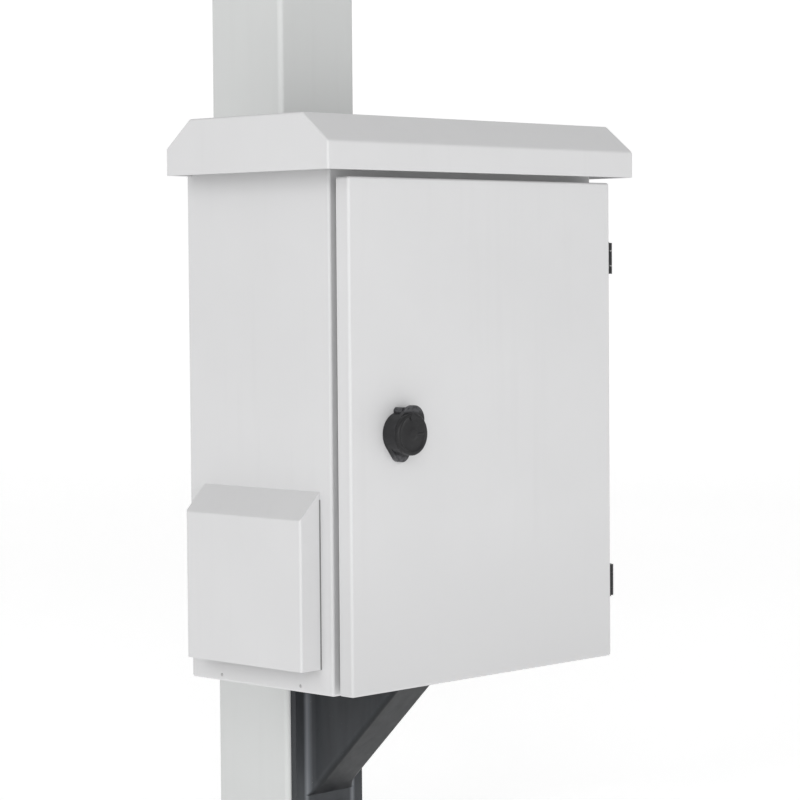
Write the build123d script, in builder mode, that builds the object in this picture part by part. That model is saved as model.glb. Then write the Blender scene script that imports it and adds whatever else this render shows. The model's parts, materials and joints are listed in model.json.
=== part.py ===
"""Pole-mounted outdoor sheet-steel equipment cabinet, millimetres, +Z up.

The origin is the centre of the square post's foot. The cabinet hangs on the post's front face (-Y),
its door faces -Y and opens about the viewer's right-hand edge (+X).
"""
import os
from math import cos, radians, sin, sqrt

from build123d import *

os.makedirs("parts", exist_ok=True)

# ---------------------------------------------------------------- driving sizes
post_width = 100.0  # square tube, across its flats
post_wall = 4.0
post_corner = 5.0
post_length = 850.0

cabinet_width = 354.0
cabinet_depth = 187.0
cabinet_height = 474.0
cabinet_foot = 190.0  # underside of the cabinet above the post's foot
cabinet_bend = 2.5  # outer bend radius of the folded box
sheet = 2.0  # cabinet and roof sheet
rail_thickness = 8.0  # the mounting rails hold the cabinet off the post

door_bottom_gap = 1.5  # door's lower edge above the cabinet's underside
door_top_gap = 14.5  # door's upper edge below the cabinet's top
door_gap = 8.8  # daylight between the cabinet's front and the door's back
door_thickness = 15.5
door_sheet = 1.5
door_bend = 2.5
door_hem = 6.0
lip_inset = 14.0  # rain lip behind the door's outline
gasket_width = 12.0
gasket_thickness = 8.0
gasket_clearance = 0.3

roof_side_overhang = 29.5
roof_front_overhang = 29.5
roof_rear_setback = 4.0
roof_skirt_drop = 9.0  # lower edge of the skirt below the cabinet's top
roof_skirt = 24.5
roof_rise = 26.0
roof_slope_run = 32.5
roof_bend = 4.0
notch_gap = 0.5  # clear round the cabinet where the roof's rear skirt is notched

hood_front_inset = 15.0
hood_width = 152.0
hood_lift = 23.0
hood_face = 134.5  # upright outer face
hood_height = 158.5
hood_depth = 24.5
hood_sheet = 1.5
hood_bend = 2.1

hinge_height = 30.0
hinge_inset = 72.5  # door's upper or lower edge to the hinge's middle
hinge_radius = 6.0
hinge_stand_off = 9.5  # pin centre outside the door's side
hinge_setback = 12.8  # pin centre behind the door's face
hinge_leaf = 3.0
pin_radius = 2.5
running_clearance = 0.05

lock_inset = 59.0  # lock centre from the door's free edge
lock_rise = 1.4  # lock centre above the door's middle
lock_radius = 19.0
lock_depth = 15.0
lower_ear_radius = 9.2
lower_ear_reach = 16.2
escutcheon_depth = 6.0
upper_ear_radius = 13.0
upper_ear_reach = 12.4
upper_ear_side = 6.0  # ear nearer the hinges than the lock's centre
upper_ear_thickness = 4.5
boss_radius = 3.4
boss_reach = 20.3
boss_side = 1.6  # boss nearer the door's free edge than the lock's centre
pivot_reach = 15.0  # lock centre to the cover's pivot
cover_gap = 0.3
cover_thickness = 4.2
cover_round = 1.2
core_radius = 11.0
barrel_radius = 13.0
cam_reach = 40.0  # core axis to the centre of the cam's round end
cam_end_radius = 8.0
cam_root_radius = 10.0
cam_thickness = 3.0
cam_gap = 1.5  # cam behind the frame's return

bracket_half_width = 26.0
bracket_reach = 133.0
bracket_drop = 134.0
bracket_nose = 6.0
bracket_sheet = 3.0
bracket_flange_bend = 9.0
back_plate_thickness = 4.0
back_plate_foot = 22.0
back_plate_head_gap = 3.0

bolt_radius = 4.0  # M8
small_bolt_radius = 3.0  # M6
screw_radius = 2.0  # M4
bolt_clearance = 0.2
thread_clearance = 0.05
bolt_head_across = 13.0  # M8 hexagon
bolt_head_depth = 5.3
nut_depth = 6.5
small_head_across = 10.0  # M6 hexagon
small_head_depth = 4.0
small_nut_depth = 5.0
bolt_tail = 8.0  # thread past the nut's seat

fan_size = 80.0
fan_depth = 25.0
fan_screw_edge = 4.25  # screw line from the fan's outline
fan_rim = 2.0
blade_count = 7
blade_chord = 17.0
blade_thickness = 1.6
blade_pitch = 35.0  # degrees
blade_tip_gap = 1.5
blade_root = 2.0  # root inside the rotor's hub
filter_depth = 6.0
grille_border = 8.0  # grille outline past the fan's

plate_side_gap = 37.0
plate_lift = 50.0
plate_head_gap = 34.0
plate_thickness = 2.5
standoff_length = 20.0
din_depth = 7.5
din_height = 35.0
din_lip = 5.0
din_sheet = 1.0
din_end_gap = 24.0  # rails stop short of the standoffs
din_lifts = (150.0, 330.0)

rail_side_gap = 12.0
rail_height = 30.0
rail_foot_gap = 62.0  # lower rail's middle above the cabinet's underside
rail_head_gap = 64.0  # upper rail's middle below the cabinet's top
rail_bolt_x = 25.0
cabinet_bolt_inset = 25.0

# ---------------------------------------------------------------- derived places
post_front = -post_width / 2
back_y = post_front - rail_thickness
front_y = back_y - cabinet_depth
inner_back_y = back_y - sheet
side_x = cabinet_width / 2
top_z = cabinet_foot + cabinet_height
inner_width = cabinet_width - 2 * sheet
inner_height = cabinet_height - 2 * sheet
inner_bend = cabinet_bend - sheet
body_mid_z = cabinet_foot + cabinet_height / 2

door_width = cabinet_width
door_height = cabinet_height - door_bottom_gap - door_top_gap
door_low = cabinet_foot + door_bottom_gap
door_high = door_low + door_height
door_mid_z = (door_low + door_high) / 2
door_back_y = front_y - door_gap
door_front_y = door_back_y - door_thickness
door_inner_y = door_front_y + door_sheet
lip_length = door_gap + door_thickness - door_sheet - gasket_thickness - gasket_clearance

hinge_x = side_x + hinge_stand_off
hinge_y = door_front_y + hinge_setback
hinge_mids = (door_low + hinge_inset, door_high - hinge_inset)
lock_x = -side_x + lock_inset
lock_z = door_mid_z + lock_rise
cover_back_y = door_front_y - lock_depth - cover_gap
cover_front_y = cover_back_y - cover_thickness
cam_front_y = front_y + sheet + cam_gap

rail_half_width = side_x - rail_side_gap
cabinet_bolt_x = side_x - cabinet_bolt_inset
rail_zs = (cabinet_foot + rail_foot_gap, top_z - rail_head_gap)
plate_half_width = side_x - plate_side_gap
plate_height = cabinet_height - plate_lift - plate_head_gap
din_half_length = plate_half_width - din_end_gap
din_zs = [cabinet_foot + lift for lift in din_lifts]
plate_back_y = inner_back_y - standoff_length
plate_front_y = plate_back_y - plate_thickness
device_back_y = plate_front_y - din_depth

roof_half = side_x + roof_side_overhang
roof_front_y = front_y - roof_front_overhang
roof_rear_y = back_y - roof_rear_setback
roof_low = top_z - roof_skirt_drop
roof_knee = roof_low + roof_skirt
roof_top = roof_knee + roof_rise

hood_front_y = front_y + hood_front_inset
hood_rear_y = hood_front_y + hood_width
hood_mid_y = (hood_front_y + hood_rear_y) / 2
hood_low = cabinet_foot + hood_lift
fan_z = hood_low + hood_face / 2
fan_y = hood_mid_y
fan_pitch = fan_size - 2 * fan_screw_edge
fan_bore = fan_size / 2 - fan_rim
grille_size = fan_size + 2 * grille_border

back_plate_front = post_front - back_plate_thickness
back_plate_top = cabinet_foot - back_plate_head_gap


def save(builder, name):
    """Label the finished piece and write its STEP file."""
    builder.part.label = name
    export_step(builder.part, f"parts/{name}.step")


def facing(y):
    """Plane at height y across the depth, drawn as seen from the front: X right, Z up, normal -Y."""
    return Plane.XZ.offset(-y)


def upright(x):
    """Plane across the width at x: local x along +Y, local y along +Z, normal +X."""
    return Plane.YZ.offset(x)


def hex_bolts(name, spots, plane, grip, radius, head_across, head_depth):
    """Hexagon-head bolts: the head stands on the plane's positive side, the shank on the other."""
    with BuildPart() as bolts:
        with BuildSketch(plane):
            with Locations(*spots):
                RegularPolygon(head_across / 2, 6, major_radius=False)
        extrude(amount=head_depth)
        with BuildSketch(plane):
            with Locations(*spots):
                Circle(radius)
        extrude(amount=-grip)
    save(bolts, name)


def hex_nuts(name, spots, plane, radius, across, depth):
    """Hexagon nuts standing on the plane's positive side."""
    with BuildPart() as nuts:
        with BuildSketch(plane):
            with Locations(*spots):
                RegularPolygon(across / 2, 6, major_radius=False)
            with Locations(*spots):
                Circle(radius + thread_clearance, mode=Mode.SUBTRACT)
        extrude(amount=depth)
    save(nuts, name)


# ---------------------------------------------------------------- post
rail_bolt_spots = [(x, z) for z in rail_zs for x in (-rail_bolt_x, rail_bolt_x)]
plate_bolt_x = 14.5
plate_bolt_edge = 15.5
plate_bolt_drop = 70.0
foot_bolt_z = back_plate_foot + plate_bolt_edge
head_bolt_z = cabinet_foot - plate_bolt_drop
foot_bolt_spots = [(x, foot_bolt_z) for x in (-plate_bolt_x, plate_bolt_x)]
head_bolt_spots = [(x, head_bolt_z) for x in (-plate_bolt_x, plate_bolt_x)]
plate_bolt_spots = foot_bolt_spots + head_bolt_spots
bush_lift = 24.0
bush_z = cabinet_foot + sheet + bush_lift
bush_radius = 16.0
bush_bore = 12.0
bush_flange = 21.0
bush_flange_depth = 3.0
post_inner_corner = 0.5

with BuildPart() as post:
    with BuildSketch(Plane.XY):
        RectangleRounded(post_width, post_width, post_corner)
        RectangleRounded(
            post_width - 2 * post_wall,
            post_width - 2 * post_wall,
            max(post_corner - post_wall, post_inner_corner),
            mode=Mode.SUBTRACT,
        )
    extrude(amount=post_length)
    with BuildSketch(facing(post_front)):
        with Locations(*rail_bolt_spots, *plate_bolt_spots):
            Circle(bolt_radius + bolt_clearance)
        with Locations((0, bush_z)):
            Circle(bush_radius)
    extrude(amount=-post_wall, mode=Mode.SUBTRACT)
save(post, "post")

# ---------------------------------------------------------------- mounting rails
rail_corner = 3.0
for name, rail_z in zip(("mounting_rail_lower", "mounting_rail_upper"), rail_zs):
    with BuildPart() as rail:
        with BuildSketch(facing(post_front)):
            with Locations((0, rail_z)):
                RectangleRounded(2 * rail_half_width, rail_height, rail_corner)
            with Locations((-rail_bolt_x, rail_z), (rail_bolt_x, rail_z)):
                Circle(bolt_radius + bolt_clearance, mode=Mode.SUBTRACT)
            with Locations((-cabinet_bolt_x, rail_z), (cabinet_bolt_x, rail_z)):
                Circle(bolt_radius + thread_clearance, mode=Mode.SUBTRACT)
        extrude(amount=rail_thickness)
        with BuildSketch(facing(back_y)):
            with Locations((-rail_bolt_x, rail_z), (rail_bolt_x, rail_z)):
                Circle(2 * bolt_radius + bolt_clearance)
        extrude(amount=-bolt_radius, taper=45, mode=Mode.SUBTRACT)
    save(rail, name)

with BuildPart() as rail_bolts:
    with BuildSketch(facing(back_y)):
        with Locations(*rail_bolt_spots):
            Circle(bolt_radius)
    extrude(amount=-(rail_thickness + post_wall + bolt_tail))
    with BuildSketch(facing(back_y)):
        with Locations(*rail_bolt_spots):
            Circle(2 * bolt_radius)
    extrude(amount=-bolt_radius, taper=45)
save(rail_bolts, "rail_bolts")

post_inside = Plane(origin=(0, post_front + post_wall, 0), x_dir=(1, 0, 0), z_dir=(0, 1, 0))
hex_nuts("rail_nuts", [(x, -z) for x, z in rail_bolt_spots], post_inside, bolt_radius,
         bolt_head_across, nut_depth)

bolt_end_gap = 0.5  # bolt's end short of the post
cabinet_bolt_spots = [(x, z) for z in rail_zs for x in (-cabinet_bolt_x, cabinet_bolt_x)]
hex_bolts("cabinet_bolts", cabinet_bolt_spots, facing(inner_back_y),
          sheet + rail_thickness - bolt_end_gap, bolt_radius, bolt_head_across, bolt_head_depth)

# ---------------------------------------------------------------- bracket under the cabinet
back_plate_corner = 2.0
with BuildPart() as back_plate:
    with BuildSketch(facing(post_front)):
        with Locations((0, (back_plate_foot + back_plate_top) / 2)):
            RectangleRounded(post_width - 2 * post_corner, back_plate_top - back_plate_foot,
                             back_plate_corner)
        with Locations(*plate_bolt_spots):
            Circle(bolt_radius + bolt_clearance, mode=Mode.SUBTRACT)
    extrude(amount=back_plate_thickness)
save(back_plate, "bracket_back_plate")

bracket_front_y = back_plate_front - bracket_reach
bracket_low = cabinet_foot - bracket_drop
flange_half = post_width / 2 - post_corner
flange_front = back_plate_front - bracket_sheet
flange_top = bracket_low + bracket_sheet  # foot of the flange runs up into the arm
inner_half = bracket_half_width - bracket_sheet
lower_wall = 3.5 * bracket_sheet  # slanted floor, measured upright at the post
nose_wall = bracket_nose - 0.2 * bracket_sheet
tray_bolt_setout = 75.0
tray_bolt_y = back_plate_front - tray_bolt_setout
tray_bolt_x = 14.0
with BuildPart() as support_bracket:
    with BuildSketch(Plane.XY.offset(bracket_low)):
        Polygon(
            (-flange_half, back_plate_front),
            (-flange_half, flange_front),
            (-bracket_half_width, flange_front),
            (-bracket_half_width, bracket_front_y),
            (bracket_half_width, bracket_front_y),
            (bracket_half_width, flange_front),
            (flange_half, flange_front),
            (flange_half, back_plate_front),
            align=None,
        )
    extrude(amount=bracket_drop - back_plate_head_gap)
    with BuildSketch(Plane.XY.offset(cabinet_foot - back_plate_head_gap)):
        with Locations((0, (bracket_front_y + flange_front) / 2)):
            Rectangle(2 * bracket_half_width, flange_front - bracket_front_y)
    extrude(amount=back_plate_head_gap)
    concave = support_bracket.edges().filter_by(Axis.Z).filter_by(
        lambda e: abs(abs(e.center().X) - bracket_half_width) < 0.1
        and abs(e.center().Y - flange_front) < 0.1
        and e.length > bracket_drop / 2)
    fillet(concave, bracket_flange_bend)
    with BuildSketch(upright(-flange_half)):
        Polygon(
            (bracket_front_y - 1, bracket_low - 1),
            (flange_front, bracket_low - 1),
            (flange_front, bracket_low),
            (bracket_front_y, cabinet_foot - bracket_nose),
            (bracket_front_y - 1, cabinet_foot - bracket_nose),
            align=None,
        )
    extrude(amount=2 * flange_half, mode=Mode.SUBTRACT)
    slanted = support_bracket.edges().filter_by(
        lambda e: e.length > bracket_drop and abs(e.tangent_at(0.5).Z) > 0.3
        and abs(e.tangent_at(0.5).Y) > 0.3
        and abs(abs(e.center().X) - bracket_half_width) < 0.1)
    fillet(slanted, 2 * bracket_sheet)
    with BuildSketch(upright(-inner_half)):
        with BuildLine():
            Polyline(
                (flange_front + bracket_sheet, bracket_low + lower_wall),
                (bracket_front_y + bracket_sheet, cabinet_foot - nose_wall),
                (bracket_front_y + bracket_sheet, cabinet_foot - bracket_sheet),
                (flange_front + bracket_sheet, cabinet_foot - bracket_sheet),
                close=True,
            )
        make_face()
    extrude(amount=2 * inner_half, mode=Mode.SUBTRACT)
    with BuildSketch(facing(back_plate_front)):
        with Locations((0, (back_plate_foot + flange_top) / 2)):
            Rectangle(2 * flange_half, flange_top - back_plate_foot)
        with Locations(*foot_bolt_spots):
            Circle(bolt_radius + bolt_clearance, mode=Mode.SUBTRACT)
    extrude(amount=bracket_sheet)
    with BuildSketch(Plane.XY.offset(cabinet_foot)):
        with Locations((-tray_bolt_x, tray_bolt_y), (tray_bolt_x, tray_bolt_y)):
            Circle(bolt_radius + bolt_clearance)
    extrude(amount=-bracket_sheet, mode=Mode.SUBTRACT)
save(support_bracket, "support_bracket")

hex_bolts("bracket_bolts", head_bolt_spots, facing(back_plate_front),
          back_plate_thickness + post_wall + bolt_tail, bolt_radius, bolt_head_across, bolt_head_depth)
hex_bolts("bracket_foot_bolts", foot_bolt_spots, facing(flange_front),
          bracket_sheet + back_plate_thickness + post_wall + bolt_tail, bolt_radius,
          bolt_head_across, bolt_head_depth)
hex_nuts("bracket_nuts", [(x, -z) for x, z in plate_bolt_spots], post_inside, bolt_radius,
         bolt_head_across, nut_depth)

tray_spots = [(-tray_bolt_x, tray_bolt_y), (tray_bolt_x, tray_bolt_y)]
hex_bolts("tray_bolts", tray_spots, Plane.XY.offset(cabinet_foot + sheet),
          sheet + bracket_sheet + bolt_tail, bolt_radius, bolt_head_across, bolt_head_depth)
under_tray = Plane(origin=(0, 0, cabinet_foot - bracket_sheet), x_dir=(1, 0, 0), z_dir=(0, 0, -1))
hex_nuts("tray_nuts", [(x, -y) for x, y in tray_spots], under_tray, bolt_radius,
         bolt_head_across, nut_depth)

# ---------------------------------------------------------------- cabinet body
roof_channel_inset = 67.0
roof_channel_x = side_x - roof_channel_inset
roof_channel_half = 15.0
roof_screw_inset = 56.0
roof_screw_ys = (front_y + roof_screw_inset, back_y - roof_screw_inset)
roof_screw_spots = [(x, y) for x in (-roof_channel_x, roof_channel_x) for y in roof_screw_ys]
rivet_radius = 1.0
rivet_head_radius = 1.5
rivet_head_depth = 0.6
rivet_tail = 1.0
rivet_z = cabinet_foot + 5.6
rivet_ys = (front_y + 42.0, back_y - 40.0)
earth_y = front_y + 110.0
earth_z = cabinet_foot + 40.0
earth_length = 22.0
earth_nut_pitch = 10.0

with BuildPart() as wrap:
    with BuildSketch(facing(back_y)):
        with Locations((0, body_mid_z)):
            RectangleRounded(cabinet_width, cabinet_height, cabinet_bend)
    extrude(amount=cabinet_depth)
    fillet(wrap.faces().sort_by(Axis.Y)[0].edges(), cabinet_bend)
    with BuildSketch(facing(back_y)):
        with Locations((0, body_mid_z)):
            RectangleRounded(inner_width, inner_height, inner_bend)
    extrude(amount=cabinet_depth - sheet, mode=Mode.SUBTRACT)
    with BuildSketch(facing(front_y)):
        with Locations((0, door_mid_z)):
            Rectangle(door_width - 2 * lip_inset, door_height - 2 * lip_inset)
    extrude(amount=lip_length)
    with BuildSketch(facing(front_y + sheet)):
        with Locations((0, door_mid_z)):
            Rectangle(
                door_width - 2 * (lip_inset + sheet), door_height - 2 * (lip_inset + sheet)
            )
    extrude(amount=sheet + lip_length, mode=Mode.SUBTRACT)
    # Fan cut-out and its four screws, earth stud and rivets.
    with BuildSketch(upright(-side_x)):
        with Locations((fan_y, fan_z)):
            Circle(fan_bore)
            with GridLocations(fan_pitch, fan_pitch, 2, 2):
                Circle(screw_radius + bolt_clearance)
        with Locations(*[(y, rivet_z) for y in rivet_ys]):
            Circle(rivet_radius)
    extrude(amount=sheet, mode=Mode.SUBTRACT)
    with BuildSketch(upright(side_x)):
        with Locations(*[(y, rivet_z) for y in rivet_ys]):
            Circle(rivet_radius)
        with Locations((earth_y, earth_z)):
            Circle(bolt_radius)
    extrude(amount=-sheet, mode=Mode.SUBTRACT)
    with BuildSketch(Plane.XY.offset(cabinet_foot)):
        with Locations(*tray_spots):
            Circle(bolt_radius + bolt_clearance)
    extrude(amount=sheet, mode=Mode.SUBTRACT)
    with BuildSketch(Plane.XY.offset(top_z)):
        with Locations(*roof_screw_spots):
            Circle(small_bolt_radius + bolt_clearance)
    extrude(amount=-sheet, mode=Mode.SUBTRACT)
save(wrap, "cabinet_wrap")

standoff_inset = 14.0
standoff_across = 12.0
plate_low = cabinet_foot + plate_lift
plate_high = plate_low + plate_height
standoff_x = plate_half_width - standoff_inset
standoff_zs = (plate_low + standoff_inset, plate_high - standoff_inset)
standoff_spots = [(x, z) for z in standoff_zs for x in (-standoff_x, standoff_x)]
with BuildPart() as cabinet_back:
    with BuildSketch(facing(back_y)):
        with Locations((0, body_mid_z)):
            RectangleRounded(inner_width, inner_height, inner_bend)
        with Locations(*cabinet_bolt_spots):
            Circle(bolt_radius + bolt_clearance, mode=Mode.SUBTRACT)
        with Locations((0, bush_z)):
            Circle(bush_radius, mode=Mode.SUBTRACT)
    extrude(amount=sheet)
save(cabinet_back, "cabinet_back")

with BuildPart() as cable_bush:
    with BuildSketch(facing(inner_back_y)):
        with Locations((0, bush_z)):
            Circle(bush_flange)
            Circle(bush_bore, mode=Mode.SUBTRACT)
    extrude(amount=bush_flange_depth)
    with BuildSketch(facing(inner_back_y)):
        with Locations((0, bush_z)):
            Circle(bush_radius)
            Circle(bush_bore, mode=Mode.SUBTRACT)
    extrude(amount=-(sheet + rail_thickness + post_wall))
save(cable_bush, "cable_bush")

with BuildPart() as rivets:
    for side in (-1, 1):
        with BuildSketch(upright(side * side_x)):
            with Locations(*[(y, rivet_z) for y in rivet_ys]):
                Circle(rivet_head_radius)
        extrude(amount=side * rivet_head_depth)
        with BuildSketch(upright(side * side_x)):
            with Locations(*[(y, rivet_z) for y in rivet_ys]):
                Circle(rivet_radius)
        extrude(amount=-side * (sheet + rivet_tail))
save(rivets, "side_rivets")

with BuildPart() as earth_stud:
    with BuildSketch(upright(side_x)):
        with Locations((earth_y, earth_z)):
            Circle(bolt_radius)
    extrude(amount=-(sheet + earth_length))
    for nut_x in (side_x - sheet, side_x - sheet - earth_nut_pitch):
        with BuildSketch(upright(nut_x)):
            with Locations((earth_y, earth_z)):
                RegularPolygon(bolt_head_across / 2, 6, major_radius=False)
        extrude(amount=-nut_depth)
save(earth_stud, "earth_stud")

# ---------------------------------------------------------------- roof
def roof_profile(drop):
    """Points of the roof's section in the YZ plane, with the open lower edge drawn lower by drop."""
    return (
        (roof_front_y, roof_low - drop),
        (roof_front_y, roof_knee),
        (roof_front_y + roof_slope_run, roof_top),
        (roof_rear_y - roof_slope_run, roof_top),
        (roof_rear_y, roof_knee),
        (roof_rear_y, roof_low - drop),
    )


with BuildPart() as roof:
    with BuildSketch(upright(-roof_half)):
        Polygon(*roof_profile(0), align=None)
    extrude(amount=2 * roof_half)
    ridges = roof.edges().filter_by(Axis.X).filter_by(lambda e: e.center().Z > roof_knee - 1)
    fillet(ridges, roof_bend)
    uprights = roof.edges().filter_by(Axis.Z)
    fillet(uprights, sheet)
    with BuildSketch(upright(-roof_half + sheet)):
        Polygon(*roof_profile(4 * sheet), align=None)
        offset(amount=-sheet, kind=Kind.INTERSECTION, mode=Mode.REPLACE)
    extrude(amount=2 * (roof_half - sheet), mode=Mode.SUBTRACT)
    # The rear skirt is notched round the cabinet's top.
    with BuildSketch(facing(roof_rear_y + 1)):
        with Locations((0, (roof_low - 1 + top_z + notch_gap) / 2)):
            Rectangle(cabinet_width + 2 * notch_gap, top_z + notch_gap - roof_low + 1)
    extrude(amount=sheet + 2, mode=Mode.SUBTRACT)
save(roof, "roof")

channel_rise = roof_top - sheet - top_z
channel_end_gap = 3.0
channel_half_length = (roof_rear_y - roof_front_y) / 2 - roof_slope_run - channel_end_gap
channel_mid_y = (roof_rear_y + roof_front_y) / 2
channel_flange = 12.0
with BuildPart() as roof_channels:
    with BuildSketch(Plane.XZ.offset(-(channel_mid_y + channel_half_length))):
        for x in (-roof_channel_x, roof_channel_x):
            with Locations((x, top_z + sheet / 2)):
                Rectangle(2 * roof_channel_half, sheet)
            for side in (-1, 1):
                with Locations((x + side * (roof_channel_half - sheet / 2), top_z + channel_rise / 2)):
                    Rectangle(sheet, channel_rise)
                with Locations((x + side * (roof_channel_half + channel_flange / 2 - sheet / 2),
                                top_z + channel_rise - sheet / 2)):
                    Rectangle(channel_flange + sheet, sheet)
    extrude(amount=2 * channel_half_length)
    with BuildSketch(Plane.XY.offset(top_z)):
        with Locations(*roof_screw_spots):
            Circle(small_bolt_radius + bolt_clearance)
    extrude(amount=sheet, mode=Mode.SUBTRACT)
save(roof_channels, "roof_channels")

under_top = Plane(origin=(0, 0, top_z - sheet), x_dir=(1, 0, 0), z_dir=(0, 0, -1))
hex_bolts("roof_bolts", [(x, -y) for x, y in roof_screw_spots], under_top,
          2 * sheet + bolt_tail, small_bolt_radius, small_head_across, small_head_depth)
hex_nuts("roof_nuts", roof_screw_spots, Plane.XY.offset(top_z + sheet), small_bolt_radius,
         small_head_across, small_nut_depth)

# ---------------------------------------------------------------- side hood and ventilation
def hood_profile(inset, drop):
    """Hood section across X and Z, seen from the front, inset by its sheet and open downwards."""
    slope = (hood_height - hood_face) / hood_depth
    outer = -side_x - hood_depth + inset
    knee = hood_low + hood_face - inset * (sqrt(1 + slope ** 2) - slope)
    return (
        (-side_x, hood_low - drop),
        (-side_x, knee + slope * (hood_depth - inset)),
        (outer, knee),
        (outer, hood_low - drop),
    )


with BuildPart() as hood:
    with BuildSketch(facing(hood_rear_y)):
        Polygon(*hood_profile(0, 0), align=None)
    extrude(amount=hood_width)
    outer_edges = hood.edges().filter_by(lambda e: abs(e.center().X + side_x + hood_depth) < 0.1
                                         and e.center().Z > hood_low + 1)
    fillet(outer_edges, hood_bend)
    with BuildSketch(facing(hood_rear_y - hood_sheet)):
        Polygon(*hood_profile(hood_sheet, 1), align=None)
    extrude(amount=hood_width - 2 * hood_sheet, mode=Mode.SUBTRACT)
save(hood, "side_hood")

grille_depth = 1.5
grille_corner = 4.0
slot_end_gap = 9.2  # slot's end inside the fan's bore
slot_height = 4.0
slot_pitch = 8.0
slot_count = 9
with BuildPart() as grille:
    with BuildSketch(upright(-side_x)):
        with Locations((fan_y, fan_z)):
            RectangleRounded(grille_size, grille_size, grille_corner)
            with GridLocations(1, slot_pitch, 1, slot_count):
                SlotOverall(2 * (fan_bore - slot_end_gap), slot_height, mode=Mode.SUBTRACT)
            with GridLocations(fan_pitch, fan_pitch, 2, 2):
                Circle(screw_radius + bolt_clearance, mode=Mode.SUBTRACT)
    extrude(amount=-grille_depth)
save(grille, "vent_grille")

fan_corner = 4.0
filter_x = -side_x + sheet
with BuildPart() as filter_mat:
    with BuildSketch(upright(filter_x)):
        with Locations((fan_y, fan_z)):
            RectangleRounded(fan_size, fan_size, fan_corner)
            with GridLocations(fan_pitch, fan_pitch, 2, 2):
                Circle(screw_radius + bolt_clearance, mode=Mode.SUBTRACT)
    extrude(amount=filter_depth)
save(filter_mat, "filter_mat")

fan_x = filter_x + filter_depth
motor_radius = 17.0
spider_depth = 3.0
spider_width = 4.0
spider_bite = 0.5  # spider's arms into the frame
motor_depth = 9.0
axle_radius = 2.0
axle_length = 10.0
fan_inner_x = fan_x + fan_depth
with BuildPart() as fan_frame:
    with BuildSketch(upright(fan_x)):
        with Locations((fan_y, fan_z)):
            RectangleRounded(fan_size, fan_size, fan_corner)
            Circle(fan_bore, mode=Mode.SUBTRACT)
            with GridLocations(fan_pitch, fan_pitch, 2, 2):
                Circle(screw_radius + bolt_clearance, mode=Mode.SUBTRACT)
    extrude(amount=fan_depth)
    with BuildSketch(upright(fan_inner_x)):
        with Locations((fan_y, fan_z)):
            Rectangle(2 * (fan_bore + spider_bite), spider_width)
            Rectangle(spider_width, 2 * (fan_bore + spider_bite))
            Circle(motor_radius)
    extrude(amount=-spider_depth)
    with BuildSketch(upright(fan_inner_x - spider_depth)):
        with Locations((fan_y, fan_z)):
            Circle(motor_radius)
    extrude(amount=-(motor_depth - spider_depth))
    with BuildSketch(upright(fan_inner_x - motor_depth)):
        with Locations((fan_y, fan_z)):
            Circle(axle_radius)
    extrude(amount=-axle_length)
save(fan_frame, "fan_frame")

rotor_gap = 0.5
rotor_face_x = fan_inner_x - motor_depth - rotor_gap
rotor_length = 13.0
with BuildPart() as rotor:
    with BuildSketch(upright(rotor_face_x)):
        with Locations((fan_y, fan_z)):
            Circle(motor_radius)
    extrude(amount=-rotor_length)
    for k in range(blade_count):
        angle = radians(360.0 / blade_count * k)
        outward = Vector(0, cos(angle), sin(angle))
        around = Vector(0, -sin(angle), cos(angle))
        chord = around * cos(radians(blade_pitch)) + Vector(1, 0, 0) * sin(radians(blade_pitch))
        middle = Vector(rotor_face_x - rotor_length / 2, fan_y, fan_z)
        root = middle + outward * (motor_radius - blade_root)
        with BuildSketch(Plane(origin=root, x_dir=chord, z_dir=outward)):
            Rectangle(blade_chord, blade_thickness)
        extrude(amount=fan_bore - blade_tip_gap - motor_radius + blade_root)
    with BuildSketch(upright(rotor_face_x)):
        with Locations((fan_y, fan_z)):
            Circle(axle_radius + running_clearance)
    extrude(amount=-(axle_length + rotor_gap), mode=Mode.SUBTRACT)
save(rotor, "fan_rotor")

screw_head_radius = 3.8
screw_head_depth = 2.4
screw_tail = 3.0
with BuildPart() as fan_screws:
    with BuildSketch(upright(-side_x - grille_depth)):
        with Locations((fan_y, fan_z)):
            with GridLocations(fan_pitch, fan_pitch, 2, 2):
                Circle(screw_head_radius)
    extrude(amount=-screw_head_depth)
    with BuildSketch(upright(-side_x - grille_depth)):
        with Locations((fan_y, fan_z)):
            with GridLocations(fan_pitch, fan_pitch, 2, 2):
                Circle(screw_radius)
    extrude(amount=grille_depth + sheet + filter_depth + fan_depth + screw_tail)
save(fan_screws, "fan_screws")

# ---------------------------------------------------------------- equipment inside
plate_nut_depth = 4.0
plate_corner = 5.0
free_hole_radius = 2.6
free_hole_side = 40.0
free_hole_end = 30.0
free_hole_x = plate_half_width - free_hole_side
free_hole_zs = (plate_low + free_hole_end, plate_high - free_hole_end)
with BuildPart() as mounting_plate:
    with BuildSketch(facing(plate_back_y)):
        with Locations((0, (plate_low + plate_high) / 2)):
            RectangleRounded(2 * plate_half_width, plate_height, plate_corner)
        with Locations(*standoff_spots):
            Circle(small_bolt_radius + bolt_clearance, mode=Mode.SUBTRACT)
        with Locations(*[(x, z) for z in free_hole_zs for x in (-free_hole_x, free_hole_x)]):
            Circle(free_hole_radius, mode=Mode.SUBTRACT)
    extrude(amount=plate_thickness)
save(mounting_plate, "mounting_plate")

with BuildPart() as standoffs:
    with BuildSketch(facing(inner_back_y)):
        with Locations(*standoff_spots):
            RegularPolygon(standoff_across / 2, 6, major_radius=False)
    extrude(amount=standoff_length)
    with BuildSketch(facing(plate_back_y)):
        with Locations(*standoff_spots):
            Circle(small_bolt_radius)
    extrude(amount=plate_thickness + bolt_tail)
save(standoffs, "plate_standoffs")
hex_nuts("plate_nuts", standoff_spots, facing(plate_front_y), small_bolt_radius,
         small_head_across, plate_nut_depth)

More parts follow.
